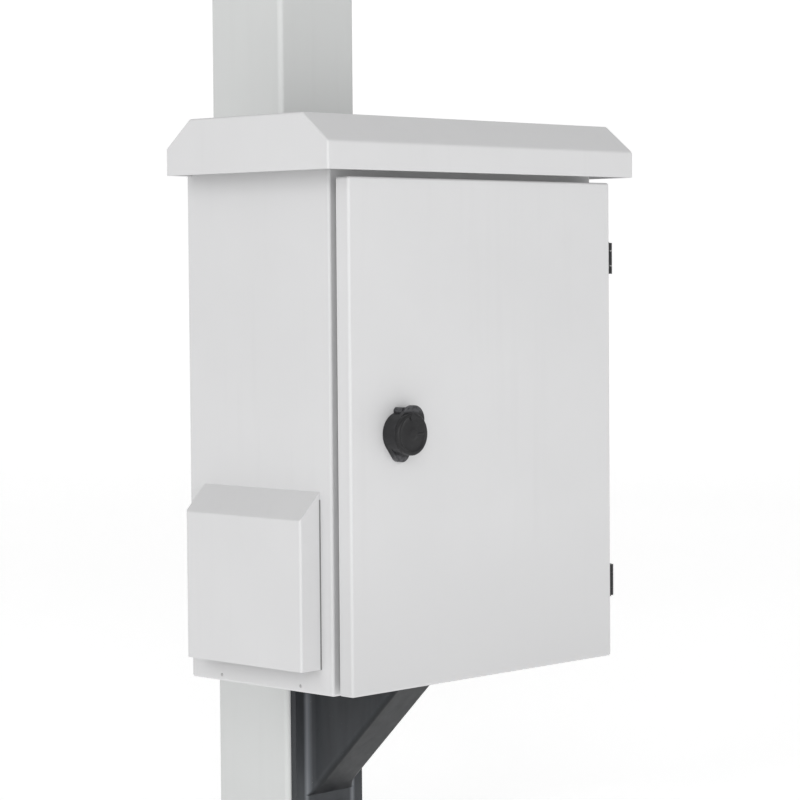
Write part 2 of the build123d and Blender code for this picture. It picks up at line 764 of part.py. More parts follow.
for name, din_z in zip(("din_rail_lower", "din_rail_upper"), din_zs):
    with BuildPart() as din:
        with BuildSketch(Plane.YZ.offset(-din_half_length)):
            with Locations((plate_front_y - din_sheet / 2, din_z)):
                Rectangle(din_sheet, din_height - 2 * din_lip)
            for side in (-1, 1):
                with Locations((plate_front_y - din_depth / 2,
                                din_z + side * (din_height / 2 - din_lip))):
                    Rectangle(din_depth, din_sheet)
                with Locations((device_back_y + din_sheet / 2,
                                din_z + side * (din_height - din_lip) / 2)):
                    Rectangle(din_sheet, din_lip)
        extrude(amount=2 * din_half_length)
    save(din, name)

breaker_x = -85.0
breaker_width = 36.0
breaker_base = 85.0
breaker_depth = 44.0
nose_height = 45.0
nose_depth = 60.0
toggle_radius = 5.0
toggle_width = 28.0
toggle_side_gap = 0.5
toggle_sink = 2.0  # lever's axis behind the nose's face
window_height = 26.0
window_depth = 9.0
clamp_radius = 3.0
clamp_depth = 8.0
clamp_x = 9.0
clamp_z = 32.0
breaker_z = din_zs[1]
toggle_y = device_back_y - nose_depth + toggle_sink
clamp_spots = [(breaker_x + dx, breaker_z + dz) for dx in (-clamp_x, clamp_x) for dz in (-clamp_z, clamp_z)]
with BuildPart() as breaker:
    with BuildSketch(facing(device_back_y)):
        with Locations((breaker_x, breaker_z)):
            Rectangle(breaker_width, breaker_base)
    extrude(amount=breaker_depth)
    with BuildSketch(facing(device_back_y - breaker_depth)):
        with Locations((breaker_x, breaker_z)):
            Rectangle(breaker_width, nose_height)
    extrude(amount=nose_depth - breaker_depth)
    with BuildSketch(facing(device_back_y - nose_depth)):
        with Locations((breaker_x, breaker_z)):
            Rectangle(toggle_width + 2 * toggle_side_gap, window_height)
    extrude(amount=-window_depth, mode=Mode.SUBTRACT)
    with BuildSketch(facing(device_back_y - breaker_depth)):
        with Locations(*clamp_spots):
            Circle(clamp_radius)
    extrude(amount=-clamp_depth, mode=Mode.SUBTRACT)
save(breaker, "breaker")

lever_length = 13.0
lever_thickness = 4.5
lever_blade = 17.55
lever_lean = 42.0  # degrees
with BuildPart() as toggle:
    with BuildSketch(Plane.YZ.offset(breaker_x - toggle_width / 2)):
        with Locations((toggle_y, breaker_z)):
            Circle(toggle_radius)
        with Locations((toggle_y - lever_length / 2, breaker_z - lever_length / 2)):
            Rectangle(lever_thickness, lever_blade, rotation=-lever_lean)
    extrude(amount=toggle_width)
save(toggle, "breaker_toggle")

psu_x = 20.0
psu_width = 78.0
psu_height = 100.0
psu_depth = 58.0
psu_corner = 3.0
psu_slot = (4.0, 36.0)
psu_slot_pitch = 9.0
psu_slot_count = 7
psu_slot_depth = 3.0
psu_clamp_drop = 34.0
psu_clamp_pitch = 10.0
psu_clamp_count = 6
psu_clamp_depth = 5.0
with BuildPart() as psu:
    with BuildSketch(facing(device_back_y)):
        with Locations((psu_x, din_zs[1])):
            RectangleRounded(psu_width, psu_height, psu_corner)
    extrude(amount=psu_depth)
    with BuildSketch(Plane.XY.offset(din_zs[1] + psu_height / 2)):
        with Locations((psu_x, device_back_y - psu_depth / 2)):
            with GridLocations(psu_slot_pitch, 1, psu_slot_count, 1):
                Rectangle(*psu_slot)
    extrude(amount=-psu_slot_depth, mode=Mode.SUBTRACT)
    with BuildSketch(facing(device_back_y - psu_depth)):
        with Locations((psu_x, din_zs[1] - psu_clamp_drop)):
            with GridLocations(psu_clamp_pitch, 1, psu_clamp_count, 1):
                Circle(clamp_radius)
    extrude(amount=-psu_clamp_depth, mode=Mode.SUBTRACT)
save(psu, "power_supply")

controller_x = -60.0
controller_size = (106.0, 90.0)
controller_depth = 50.0
controller_corner = 4.0
face_size = (96.0, 46.0)
face_depth = 8.0
face_corner = 3.0
socket_size = (5.0, 7.0)
socket_depth = 6.0
socket_pitch = 8.0
socket_count = 12
socket_row_z = 36.0
with BuildPart() as controller:
    with BuildSketch(facing(device_back_y)):
        with Locations((controller_x, din_zs[0])):
            RectangleRounded(*controller_size, controller_corner)
    extrude(amount=controller_depth)
    with BuildSketch(facing(device_back_y - controller_depth)):
        with Locations((controller_x, din_zs[0])):
            RectangleRounded(*face_size, face_corner)
    extrude(amount=face_depth)
    with BuildSketch(facing(device_back_y - controller_depth)):
        for dz in (-socket_row_z, socket_row_z):
            with Locations((controller_x, din_zs[0] + dz)):
                with GridLocations(socket_pitch, 1, socket_count, 1):
                    Rectangle(*socket_size)
    extrude(amount=-socket_depth, mode=Mode.SUBTRACT)
save(controller, "controller")

terminal_x = 64.0
terminal_pitch = 6.2
terminal_count = 16
terminal_width = 5.8
terminal_half_height = 27.0
terminal_half_top = 14.0
terminal_shoulder = 30.0
terminal_depth = 42.0
with BuildPart() as terminals:
    for k in range(terminal_count):
        x = terminal_x + (k - (terminal_count - 1) / 2) * terminal_pitch
        with BuildSketch(upright(x - terminal_width / 2)):
            Polygon(
                (device_back_y, din_zs[0] - terminal_half_height),
                (device_back_y - terminal_shoulder, din_zs[0] - terminal_half_height),
                (device_back_y - terminal_depth, din_zs[0] - terminal_half_top),
                (device_back_y - terminal_depth, din_zs[0] + terminal_half_top),
                (device_back_y - terminal_shoulder, din_zs[0] + terminal_half_height),
                (device_back_y, din_zs[0] + terminal_half_height),
                align=None,
            )
        extrude(amount=terminal_width)
save(terminals, "terminal_blocks")

duct_z = (din_zs[0] + din_zs[1]) / 2
duct_height = 40.0
duct_depth = 45.0
duct_slot_width = 5.0
duct_slot_pitch = 10.0
duct_slot_count = int(2 * din_half_length / duct_slot_pitch) - 1
duct_slot_depth = 2.0
duct_rim = 7.0
with BuildPart() as duct:
    with BuildSketch(facing(plate_front_y)):
        with Locations((0, duct_z)):
            Rectangle(2 * din_half_length, duct_height)
    extrude(amount=duct_depth)
    for side in (-1, 1):
        with BuildSketch(Plane.XY.offset(duct_z + side * duct_height / 2)):
            with Locations((0, plate_front_y - duct_depth / 2)):
                with GridLocations(duct_slot_pitch, 1, duct_slot_count, 1):
                    Rectangle(duct_slot_width, duct_depth - 2 * duct_rim)
        extrude(amount=-side * duct_slot_depth, mode=Mode.SUBTRACT)
save(duct, "wiring_duct")

# ---------------------------------------------------------------- hinges
knuckle_ends = 7.6
knuckle_gap = 0.3
knuckle_clearance = 4.5
leaf_lip_gap = 1.5
leaf_tail = 2.0
arm_half = 3.5
ear_thickness = 5.0
leaf_door_gap = 0.5
leaf_margin = 3.0
pin_head_lip = 1.0
leaf_x_inner = side_x - lip_inset + leaf_lip_gap
arm_x = hinge_x - arm_half
for place, mid in zip(("lower", "upper"), hinge_mids):
    low = mid - hinge_height / 2
    with BuildPart() as fixed_leaf:
        with BuildSketch(facing(front_y)):
            with Locations(((leaf_x_inner + hinge_x + leaf_tail) / 2, mid)):
                Rectangle(hinge_x + leaf_tail - leaf_x_inner, hinge_height)
        extrude(amount=hinge_leaf)
        with BuildSketch(Plane.XY.offset(low)):
            with Locations((hinge_x, hinge_y)):
                Circle(hinge_radius)
            with Locations(((arm_x + hinge_x + hinge_radius) / 2, (front_y + hinge_y) / 2)):
                Rectangle(hinge_x + hinge_radius - arm_x, front_y - hinge_y)
        extrude(amount=hinge_height)
        with BuildSketch(Plane.XY.offset(low + knuckle_ends)):
            with Locations((hinge_x, hinge_y)):
                Circle(hinge_radius + knuckle_clearance)
        extrude(amount=hinge_height - 2 * knuckle_ends, mode=Mode.SUBTRACT)
        with BuildSketch(Plane.XY.offset(low)):
            with Locations((hinge_x, hinge_y)):
                Circle(pin_radius)
        extrude(amount=hinge_height, mode=Mode.SUBTRACT)
    save(fixed_leaf, f"hinge_body_leaf_{place}")

    with BuildPart() as moving_leaf:
        with BuildSketch(facing(door_back_y - leaf_door_gap)):
            with Locations((side_x + hinge_leaf / 2, mid)):
                Rectangle(hinge_leaf, hinge_height)
        extrude(amount=door_thickness - leaf_margin)
        with BuildSketch(Plane.XY.offset(low + knuckle_ends + knuckle_gap)):
            with Locations((hinge_x, hinge_y)):
                Circle(hinge_radius)
            with Locations(((side_x + hinge_x) / 2, hinge_y - ear_thickness / 2)):
                Rectangle(hinge_x - side_x, ear_thickness)
            with Locations((hinge_x, hinge_y)):
                Circle(pin_radius + running_clearance, mode=Mode.SUBTRACT)
        extrude(amount=hinge_height - 2 * (knuckle_ends + knuckle_gap))
    save(moving_leaf, f"hinge_door_leaf_{place}")

    with BuildPart() as hinge_pin:
        with BuildSketch(Plane.XY.offset(low)):
            with Locations((hinge_x, hinge_y)):
                Circle(pin_radius)
        extrude(amount=hinge_height)
        with BuildSketch(Plane.XY.offset(low + hinge_height)):
            with Locations((hinge_x, hinge_y)):
                Circle(pin_radius + pin_head_lip)
        extrude(amount=pin_head_lip)
    save(hinge_pin, f"hinge_pin_{place}")

# ---------------------------------------------------------------- door
with BuildPart() as door:
    with BuildSketch(facing(door_back_y)):
        with Locations((0, door_mid_z)):
            RectangleRounded(door_width, door_height, door_bend)
    extrude(amount=door_thickness)
    fillet(door.faces().sort_by(Axis.Y)[0].edges(), door_bend)
    with BuildSketch(facing(door_back_y - door_sheet)):
        with Locations((0, door_mid_z)):
            RectangleRounded(door_width - 2 * door_sheet, door_height - 2 * door_sheet,
                             door_bend - door_sheet)
    extrude(amount=door_thickness - 2 * door_sheet, mode=Mode.SUBTRACT)
    with BuildSketch(facing(door_back_y)):
        with Locations((0, door_mid_z)):
            Rectangle(door_width - 2 * door_hem, door_height - 2 * door_hem)
    extrude(amount=door_sheet, mode=Mode.SUBTRACT)
    with BuildSketch(facing(door_front_y)):
        with Locations((lock_x, lock_z)):
            Circle(barrel_radius)
    extrude(amount=-door_sheet, mode=Mode.SUBTRACT)
save(door, "door_panel")

with BuildPart() as gasket:
    with BuildSketch(facing(door_inner_y)):
        with Locations((0, door_mid_z)):
            Rectangle(
                door_width - 2 * lip_inset + gasket_width - sheet,
                door_height - 2 * lip_inset + gasket_width - sheet,
            )
            Rectangle(
                door_width - 2 * lip_inset - gasket_width - sheet,
                door_height - 2 * lip_inset - gasket_width - sheet,
                mode=Mode.SUBTRACT,
            )
    extrude(amount=-gasket_thickness)
save(gasket, "door_gasket")

stiffener_x = 70.0
stiffener_half = 20.0
stiffener_rise = 9.0
stiffener_end_gap = 50.0
stiffener_half_length = door_height / 2 - stiffener_end_gap
stiffener_foot = 11.5
with BuildPart() as stiffener:
    with BuildSketch(Plane.XY.offset(door_mid_z - stiffener_half_length)):
        with Locations((stiffener_x, door_inner_y + stiffener_rise - door_sheet / 2)):
            Rectangle(2 * stiffener_half, door_sheet)
        for side in (-1, 1):
            with Locations((stiffener_x + side * (stiffener_half - door_sheet / 2),
                            door_inner_y + stiffener_rise / 2)):
                Rectangle(door_sheet, stiffener_rise)
            with Locations((stiffener_x + side * (stiffener_half + (stiffener_foot - door_sheet) / 2),
                            door_inner_y + door_sheet / 2)):
                Rectangle(stiffener_foot + door_sheet, door_sheet)
    extrude(amount=2 * stiffener_half_length)
save(stiffener, "door_stiffener")

# ---------------------------------------------------------------- lock
pivot_z = lock_z + pivot_reach


def lobe(side, lift, radius):
    """Drum outline drawn out smoothly to one round ear above or below it."""
    with Locations((lock_x, lock_z)):
        Circle(lock_radius)
    with Locations((lock_x + side, lock_z + lift)):
        Circle(radius)
    make_hull()


pivot_radius = 2.0
pivot_head_radius = 3.2
pivot_head_depth = 1.0
barrel_end_gap = 1.0
with BuildPart() as housing:
    with BuildSketch(facing(door_front_y)):
        lobe(0, -lower_ear_reach, lower_ear_radius)
    extrude(amount=escutcheon_depth)
    with BuildSketch(facing(door_front_y)):
        with Locations((lock_x, lock_z)):
            Circle(lock_radius)
        with Locations((lock_x - boss_side, lock_z + boss_reach)):
            Circle(boss_radius)
    extrude(amount=lock_depth - upper_ear_thickness)
    with BuildSketch(facing(door_front_y - lock_depth + upper_ear_thickness)):
        lobe(upper_ear_side, upper_ear_reach, upper_ear_radius)
    extrude(amount=upper_ear_thickness)
    with BuildSketch(facing(door_front_y)):
        with Locations((lock_x, lock_z)):
            Circle(barrel_radius)
    extrude(amount=-(cam_front_y - door_front_y - barrel_end_gap))
    with BuildSketch(facing(door_front_y - lock_depth)):
        with Locations((lock_x, lock_z)):
            Circle(core_radius + running_clearance)
        with Locations((lock_x, pivot_z)):
            Circle(pivot_radius)
    extrude(amount=-lock_depth, mode=Mode.SUBTRACT)
    with BuildSketch(facing(door_front_y)):
        with Locations((lock_x, lock_z)):
            Circle(core_radius + running_clearance)
    extrude(amount=-(cam_front_y - door_front_y), mode=Mode.SUBTRACT)
save(housing, "lock_housing")

lock_nut_depth = 5.0
lock_nut_rim = 4.0
with BuildPart() as lock_nut:
    with BuildSketch(facing(door_inner_y)):
        with Locations((lock_x, lock_z)):
            RegularPolygon(barrel_radius + lock_nut_rim, 6, major_radius=False)
            Circle(barrel_radius, mode=Mode.SUBTRACT)
    extrude(amount=-lock_nut_depth)
save(lock_nut, "lock_nut")

square_half = 4.0
square_end = 0.2  # square's end past the cam
core_recess = 1.5
keyway_radius = 8.0
keyway_bit = (2.6, 11.0)
keyway_pin = 2.6
keyway_depth = 9.0
core_front_y = door_front_y - lock_depth + core_recess
with BuildPart() as core:
    with BuildSketch(facing(core_front_y)):
        with Locations((lock_x, lock_z)):
            Circle(core_radius)
    extrude(amount=-(cam_front_y - core_front_y))
    with BuildSketch(facing(core_front_y)):
        with Locations((lock_x, lock_z)):
            Circle(keyway_radius)
            Rectangle(*keyway_bit, mode=Mode.SUBTRACT)
            Circle(keyway_pin, mode=Mode.SUBTRACT)
    extrude(amount=-keyway_depth, mode=Mode.SUBTRACT)
    with BuildSketch(facing(cam_front_y)):
        with Locations((lock_x, lock_z)):
            Rectangle(2 * square_half, 2 * square_half)
    extrude(amount=-(cam_thickness + square_end))
    with BuildSketch(facing(cam_front_y + cam_thickness)):
        with Locations((lock_x, lock_z)):
            Circle(small_bolt_radius)
    extrude(amount=-bolt_tail)
save(core, "lock_core")

with BuildPart() as cam:
    with BuildSketch(facing(cam_front_y)):
        with Locations((lock_x, lock_z)):
            Circle(cam_root_radius)
        with Locations((lock_x, lock_z - cam_reach)):
            Circle(cam_end_radius)
        make_hull()
        with Locations((lock_x, lock_z)):
            Rectangle(2 * square_half, 2 * square_half, mode=Mode.SUBTRACT)
    extrude(amount=-cam_thickness)
save(cam, "lock_cam")
cam_back_y = cam_front_y + cam_thickness + square_end
behind_cam = Plane(origin=(0, cam_back_y, 0), x_dir=(1, 0, 0), z_dir=(0, 1, 0))
hex_nuts("cam_nut", [(lock_x, -lock_z)], behind_cam, small_bolt_radius,
         small_head_across, small_nut_depth)

with BuildPart() as cover:
    with BuildSketch(facing(cover_back_y)):
        with Locations((lock_x, lock_z)):
            Circle(lock_radius)
    extrude(amount=cover_thickness)
    fillet(cover.faces().sort_by(Axis.Y)[0].edges(), cover_round)
    with BuildSketch(facing(cover_back_y)):
        with Locations((lock_x, pivot_z)):
            Circle(pivot_radius + running_clearance)
    extrude(amount=cover_thickness, mode=Mode.SUBTRACT)
    with BuildSketch(facing(cover_front_y)):
        with Locations((lock_x, pivot_z)):
            Circle(pivot_head_radius + running_clearance)
    extrude(amount=-(pivot_head_depth + running_clearance), mode=Mode.SUBTRACT)
save(cover, "dust_cover")

with BuildPart() as pivot:
    with BuildSketch(facing(door_front_y)):
        with Locations((lock_x, pivot_z)):
            Circle(pivot_radius)
    extrude(amount=door_front_y - cover_front_y)
    with BuildSketch(facing(cover_front_y)):
        with Locations((lock_x, pivot_z)):
            Circle(pivot_head_radius)
    extrude(amount=-pivot_head_depth)
save(pivot, "cover_pivot")
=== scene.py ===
"""Looks of a pole-mounted sheet-steel equipment cabinet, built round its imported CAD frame."""
import json
from math import atan2, cos, pi, radians, sin

import bmesh
import bpy
from bpy.props import FloatProperty, FloatVectorProperty, IntProperty
from mathutils import Matrix, Vector


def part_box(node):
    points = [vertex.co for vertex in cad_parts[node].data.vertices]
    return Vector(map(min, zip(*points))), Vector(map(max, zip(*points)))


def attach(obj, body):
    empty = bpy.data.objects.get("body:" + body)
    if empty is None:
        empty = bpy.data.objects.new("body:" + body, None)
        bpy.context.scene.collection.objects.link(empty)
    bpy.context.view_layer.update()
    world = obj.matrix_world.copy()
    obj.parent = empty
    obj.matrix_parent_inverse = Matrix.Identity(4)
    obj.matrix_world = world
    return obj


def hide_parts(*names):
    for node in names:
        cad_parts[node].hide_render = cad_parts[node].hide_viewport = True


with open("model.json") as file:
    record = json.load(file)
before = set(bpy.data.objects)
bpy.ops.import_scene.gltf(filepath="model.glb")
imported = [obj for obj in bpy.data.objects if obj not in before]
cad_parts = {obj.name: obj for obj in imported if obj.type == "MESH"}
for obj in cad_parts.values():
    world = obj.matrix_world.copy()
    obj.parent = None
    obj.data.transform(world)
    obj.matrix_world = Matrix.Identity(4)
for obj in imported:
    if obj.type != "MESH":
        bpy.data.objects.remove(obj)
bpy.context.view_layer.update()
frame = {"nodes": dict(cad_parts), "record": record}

bl_info = {
    "name": "Post cabinet",
    "version": (1, 0, 0),
    "blender": (4, 5, 0),
    "location": "3D View > Sidebar > Cabinet",
    "description": "Finishes and fine parts of a pole-mounted equipment cabinet",
    "category": "Object",
}

MM = 0.001
MIX_FACTOR, MIX_FIRST, MIX_SECOND, MIX_RESULT = 0, 6, 7, 2  # colour sockets of a Mix node


# ---------------------------------------------------------------- shader maths
class Sock:
    """A node socket that takes part in Python sums; each sum adds its Math node."""

    def __init__(self, tree, socket):
        self.tree = tree
        self.socket = socket

    def _math(self, operation, first, second):
        return self.tree.node("ShaderNodeMath", {"operation": operation}, (first, second))

    def __add__(self, other):
        return self._math("ADD", self, other)

    def __sub__(self, other):
        return self._math("SUBTRACT", self, other)

    def __mul__(self, other):
        return self._math("MULTIPLY", self, other)

    def __rsub__(self, other):
        return self._math("SUBTRACT", other, self)

    def __abs__(self):
        return self._math("ABSOLUTE", self, 0.0)

    __radd__ = __add__
    __rmul__ = __mul__


class Tree:
    """Builds one node tree: every node comes from node()."""

    def __init__(self, tree):
        self.tree = tree
        self.nodes = tree.nodes

    def node(self, kind, settings=None, inputs=(), out=0):
        made = self.nodes.new(kind)
        for key, value in (settings or {}).items():
            setattr(made, key, value)
        pairs = inputs.items() if isinstance(inputs, dict) else enumerate(inputs)
        for key, value in pairs:
            self.feed(made.inputs[key], value)
        return Sock(self, made.outputs[out])

    def feed(self, target, value):
        """Link a Sock to an input, or set a constant on it."""
        if isinstance(value, Sock):
            self.tree.links.new(value.socket, target)
        else:
            target.default_value = value


class Finish(Tree):
    """A material on Principled BSDF with the textures that this cabinet's finishes share."""

    def __init__(self, name, roughness=0.5, metallic=0.0, specular=0.5, coat=0.0):
        self.material = bpy.data.materials.new(name)
        self.material.use_nodes = True
        super().__init__(self.material.node_tree)
        self.nodes.clear()
        self.shader = self.nodes.new("ShaderNodeBsdfPrincipled")
        output = self.nodes.new("ShaderNodeOutputMaterial")
        self.tree.links.new(self.shader.outputs[0], output.inputs[0])
        self.set("Roughness", roughness)
        self.set("Metallic", metallic)
        self.set("Specular IOR Level", specular)
        self.set("Coat Weight", coat)
        self.place = self.node("ShaderNodeTexCoord", out="Object")

    def set(self, name, value):
        self.feed(self.shader.inputs[name], value)

    def stretched(self, scale):
        """Object place with a scale on each axis: a small scale draws a texture out along it."""
        return self.node("ShaderNodeMapping", {}, {"Vector": self.place, "Scale": scale})

    def noise(self, scale, detail=3.0, vector=None):
        inputs = {"Vector": vector or self.place, "Scale": scale, "Detail": detail}
        return self.node("ShaderNodeTexNoise", {}, inputs)

    def cells(self, scale, feature="F1", out="Distance"):
        inputs = {"Vector": self.place, "Scale": scale}
        return self.node("ShaderNodeTexVoronoi", {"feature": feature}, inputs, out)

    def span(self, value, low, high):
        """0 at low and 1 at high, straight between them."""
        return self.node("ShaderNodeMapRange", {}, (value, low, high, 0.0, 1.0))

    def mix(self, factor, first, second):
        first, second = (v if isinstance(v, Sock) else (*v, 1) for v in (first, second))
        inputs = {MIX_FACTOR: factor, MIX_FIRST: first, MIX_SECOND: second}
        return self.node("ShaderNodeMix", {"data_type": "RGBA"}, inputs, MIX_RESULT)

    def along(self, axis):
        """Distance along one axis of the object."""
        return self.node("ShaderNodeSeparateXYZ", {}, (self.place,), out=axis)

    def underside_shade_mask(self):
        """1 on faces turned to the ground, which the charcoal darkens as painted shade."""
        normal = self.node("ShaderNodeNewGeometry", out="Normal")
        return self.span(self.node("ShaderNodeSeparateXYZ", {}, (normal,), out="Z"), -0.2, -0.65)

    def ridge(self, value, middle, half):
        """1 at the middle, falling evenly to 0 at half a width on either side."""
        return self.span(abs(value - middle), half, 0.0)

    def relief(self, value, strength, distance):
        inputs = {"Height": value, "Strength": strength, "Distance": distance}
        self.set("Normal", self.node("ShaderNodeBump", {}, inputs))


def shade(colour, factor):
    """The colour made darker or lighter, at most white."""
    return tuple(min(1.0, c * factor) for c in colour)


LOW_DARKENING_TOP, LOW_DARKENING_FULL = 340 * MM, 200 * MM  # heights between which the coat turns darker towards the bottom


def powder_coat(name, colour, rough, peel, gloss=0.35, darken_low=0.0):
    """Sprayed powder: orange peel, faint mottling, a little dust in rain runs, and, where asked,
    darker towards the bottom.
    """
    f = Finish(name, specular=gloss)
    mottle = f.noise(9.0, 4.0)
    grain = f.noise(260.0, 2.0)
    runs = f.noise(14.0, 3.0, f.stretched((6.0, 6.0, 0.35)))
    # this mask is dust in the rain runs
    dust_and_shade = f.span(runs, 0.56, 0.78) * 0.35
    tint = f.mix(f.span(mottle, 0.3, 0.7), shade(colour, 0.985), shade(colour, 1.012))
    # darker towards the bottom, between the two heights, as far as asked
    low = f.span(f.along("Z"), LOW_DARKENING_TOP, LOW_DARKENING_FULL) * (0.6 + mottle * 0.4) * darken_low
    f.set("Base Color", f.mix(low, f.mix(dust_and_shade, tint, shade(colour, 0.955)), shade(colour, 0.9)))
    f.set("Roughness", rough + (mottle - 0.5) * 0.10 + dust_and_shade * 0.08)
    f.relief(grain * 0.7 + f.noise(900.0, 1.0) * 0.3, peel, 0.0004)
    return f.material


# Painted shade and highlight on the bracket: heights over which the paint turns from dark under the
# cabinet to lighter low down, heights of the painted highlight on the fold, and the fold's distance
# from the middle.
CABINET_SHADE_TOP, CABINET_SHADE_CLEAR = 175 * MM, 50 * MM
FOLD_HIGHLIGHT_TOP, FOLD_HIGHLIGHT_FULL = 176 * MM, 150 * MM
FOLD_SIDE, FOLD_HALF = 31 * MM, 4 * MM


def charcoal(name, colour):
    """Satin charcoal paint: upright streaks, thin spots, painted shade that keeps it darker near
    the cabinet and lighter low down, a painted highlight along the arm's folds, and painted shade
    on faces turned down.
    """
    f = Finish(name, specular=0.12)
    streak = f.noise(18.0, 4.0, f.stretched((5.0, 5.0, 0.6)))
    spots = f.span(f.noise(420.0, 2.0), 0.70, 0.78)
    height = f.along("Z")
    base = f.mix(f.span(streak, 0.3, 0.75), shade(colour, 0.8), shade(colour, 1.25))
    # lighter low down, darker up under the cabinet: painted shade from the cabinet
    dust_and_shade = f.span(height, CABINET_SHADE_TOP, CABINET_SHADE_CLEAR) * 0.6
    base = f.mix(dust_and_shade, base, shade(colour, 2.0))
    # painted highlight along the arm's folds, where light would glint on the bends, fading out
    # under the cabinet
    fold_highlight = f.ridge(abs(f.along("X")), FOLD_SIDE, FOLD_HALF) * f.span(height, FOLD_HIGHLIGHT_TOP, FOLD_HIGHLIGHT_FULL)
    base = f.mix(fold_highlight * (0.45 + streak * 0.6), base, shade(colour, 6.0))
    # faces turned down made darker: painted shade
    base = f.mix(f.underside_shade_mask(), base, shade(colour, 0.6))
    f.set("Base Color", f.mix(spots * 0.35, base, (0.16, 0.16, 0.16)))
    f.set("Roughness", 0.24 + streak * 0.22 + spots * 0.3)
    f.relief(streak * 0.7 + f.noise(300.0, 2.0) * 0.3, 0.2, 0.0004)
    return f.material


def plated(name, colour, rough):
    """Zinc-plated steel: fine grain, cloudy passivation."""
    f = Finish(name, metallic=1.0)
    cloud = f.noise(60.0, 4.0)
    f.set("Base Color", f.mix(cloud, shade(colour, 0.82), shade(colour, 1.1)))
    f.set("Roughness", rough + (cloud - 0.5) * 0.22)
    f.relief(f.noise(1400.0, 2.0), 0.12, 0.0002)
    return f.material


def spangled(name, colour):
    """Hot-dip galvanised sheet with its crystal spangle."""
    f = Finish(name, metallic=1.0)
    crystal = f.cells(95.0, out="Color")
    tone = f.node("ShaderNodeSeparateColor", {}, (crystal,))
    f.set("Base Color", f.mix(tone, shade(colour, 0.72), shade(colour, 1.12)))
    f.set("Roughness", 0.34 + tone * 0.18)
    f.relief(f.noise(500.0, 2.0), 0.08, 0.0003)
    return f.material


def brushed(name, colour, direction):
    """Linished metal with its grain along the narrow direction of the scale."""
    f = Finish(name, metallic=1.0)
    grain = f.noise(120.0, 5.0, f.stretched(direction))
    f.set("Base Color", f.mix(grain, shade(colour, 0.8), shade(colour, 1.15)))
    f.set("Roughness", 0.28 + grain * 0.2)
    f.relief(grain, 0.12, 0.0002)
    return f.material


def moulded(name, colour, rough, grain_scale=700.0, depth=0.2):
    """Moulded plastic with a spark-eroded grain and slight sink shading."""
    f = Finish(name, specular=0.5)
    grain = f.noise(grain_scale, 2.0)
    swirl = f.noise(35.0, 3.0)
    f.set("Base Color", f.mix(swirl, shade(colour, 0.86), shade(colour, 1.16)))
    f.set("Roughness", rough + (swirl - 0.5) * 0.12)
    f.relief(grain, depth, 0.0003)
    return f.material


def cast_black(name, colour, rough, highlight_beyond=1.0, centre=0.0):
    """Black painted casting: satin skin, finely pebbled, with small rubbed spots.

    Further than the given distance above and below the height centre it gets patches of lighter
    grey: painted highlight on the lock's ears.
    """
    f = Finish(name, specular=0.3)
    rub = f.span(f.noise(180.0, 3.0), 0.58, 0.8)
    # patches of painted highlight on the lock's ears, beyond the given distance from the centre
    ends = f.span(abs(f.along("Z") - centre), highlight_beyond, highlight_beyond + 4 * MM)
    ear_highlight = ends * f.span(f.noise(320.0, 3.0), 0.30, 0.62)
    base = f.mix(rub * 0.5, colour, shade(colour, 2.6))
    f.set("Base Color", f.mix(ear_highlight, base, shade(colour, 4.5)))
    f.set("Roughness", rough + rub * 0.18)
    f.relief(f.noise(1100.0, 2.0), 0.25, 0.0003)
    return f.material


def foam(name, colour):
    """Cellular sealing strip: open pores over a matt black skin."""
    f = Finish(name, roughness=0.9, specular=0.2)
    pores = f.cells(900.0)
    f.set("Base Color", f.mix(pores, shade(colour, 0.5), shade(colour, 1.5)))
    f.relief(pores, 0.5, 0.0005)
    return f.material


def fleece(name, colour):
    """Filter fleece: tangled fibres."""
    f = Finish(name, roughness=0.95, specular=0.1)
    fibre = f.noise(420.0, 6.0) * 0.5 + f.noise(220.0, 4.0, f.stretched((1.0, 6.0, 0.6))) * 0.5
    f.set("Base Color", f.mix(fibre, shade(colour, 0.6), shade(colour, 1.1)))
    f.relief(fibre, 0.8, 0.001)
    return f.material


def lamp_lens(name, colour, glow):
    """Small coloured indicator lens, lit from behind."""
    f = Finish(name, roughness=0.18, coat=0.4)
    cut = f.cells(900.0)
    f.set("Base Color", f.mix(cut, shade(colour, 0.6), colour))
    f.set("Emission Color", f.mix(cut, shade(colour, 0.5), colour))
    f.set("Emission Strength", glow)
    return f.material


# ---------------------------------------------------------------- mesh helpers
def piece(name, mesh, body, material, replaces=()):
    """One finished piece: object at the origin, riding on its body and finish."""
    obj = bpy.data.objects.new(name, mesh)
    bpy.context.scene.collection.objects.link(obj)
    mesh.materials.clear()
    mesh.materials.append(material)
    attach(obj, body)
    if replaces:
        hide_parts(*replaces)
    return obj


def mesh_of(bm, name, smooth_angle=35.0):
    """Mesh from a bmesh, welded, facing outwards, smooth below the given angle."""
    bmesh.ops.remove_doubles(bm, verts=bm.verts, dist=1e-6)
    bmesh.ops.recalc_face_normals(bm, faces=bm.faces)
    for face in bm.faces:
        face.smooth = True
    for edge in bm.edges:
        if len(edge.link_faces) == 2 and edge.calc_face_angle(0) > radians(smooth_angle):
            edge.smooth = False
    mesh = bpy.data.meshes.new(name)
    bm.to_mesh(mesh)
    bm.free()
    return mesh


def loft(bm, rings, close_first=True, close_last=True):
    """Skin between equal rings of points; the ends may be capped."""
    grown = [[bm.verts.new(p) for p in ring] for ring in rings]
    count = len(rings[0])
    for low, high in zip(grown, grown[1:]):
        for i in range(count):
            bm.faces.new((low[i], low[(i + 1) % count], high[(i + 1) % count], high[i]))
    if close_first:
        bm.faces.new(list(reversed(grown[0])))
    if close_last:
        bm.faces.new(grown[-1])
    return grown


def ring_at(radius, height, turns):
    """Circle of points about Z at a height."""
    return [Vector((radius * cos(2 * pi * i / turns), radius * sin(2 * pi * i / turns), height))
            for i in range(turns)]


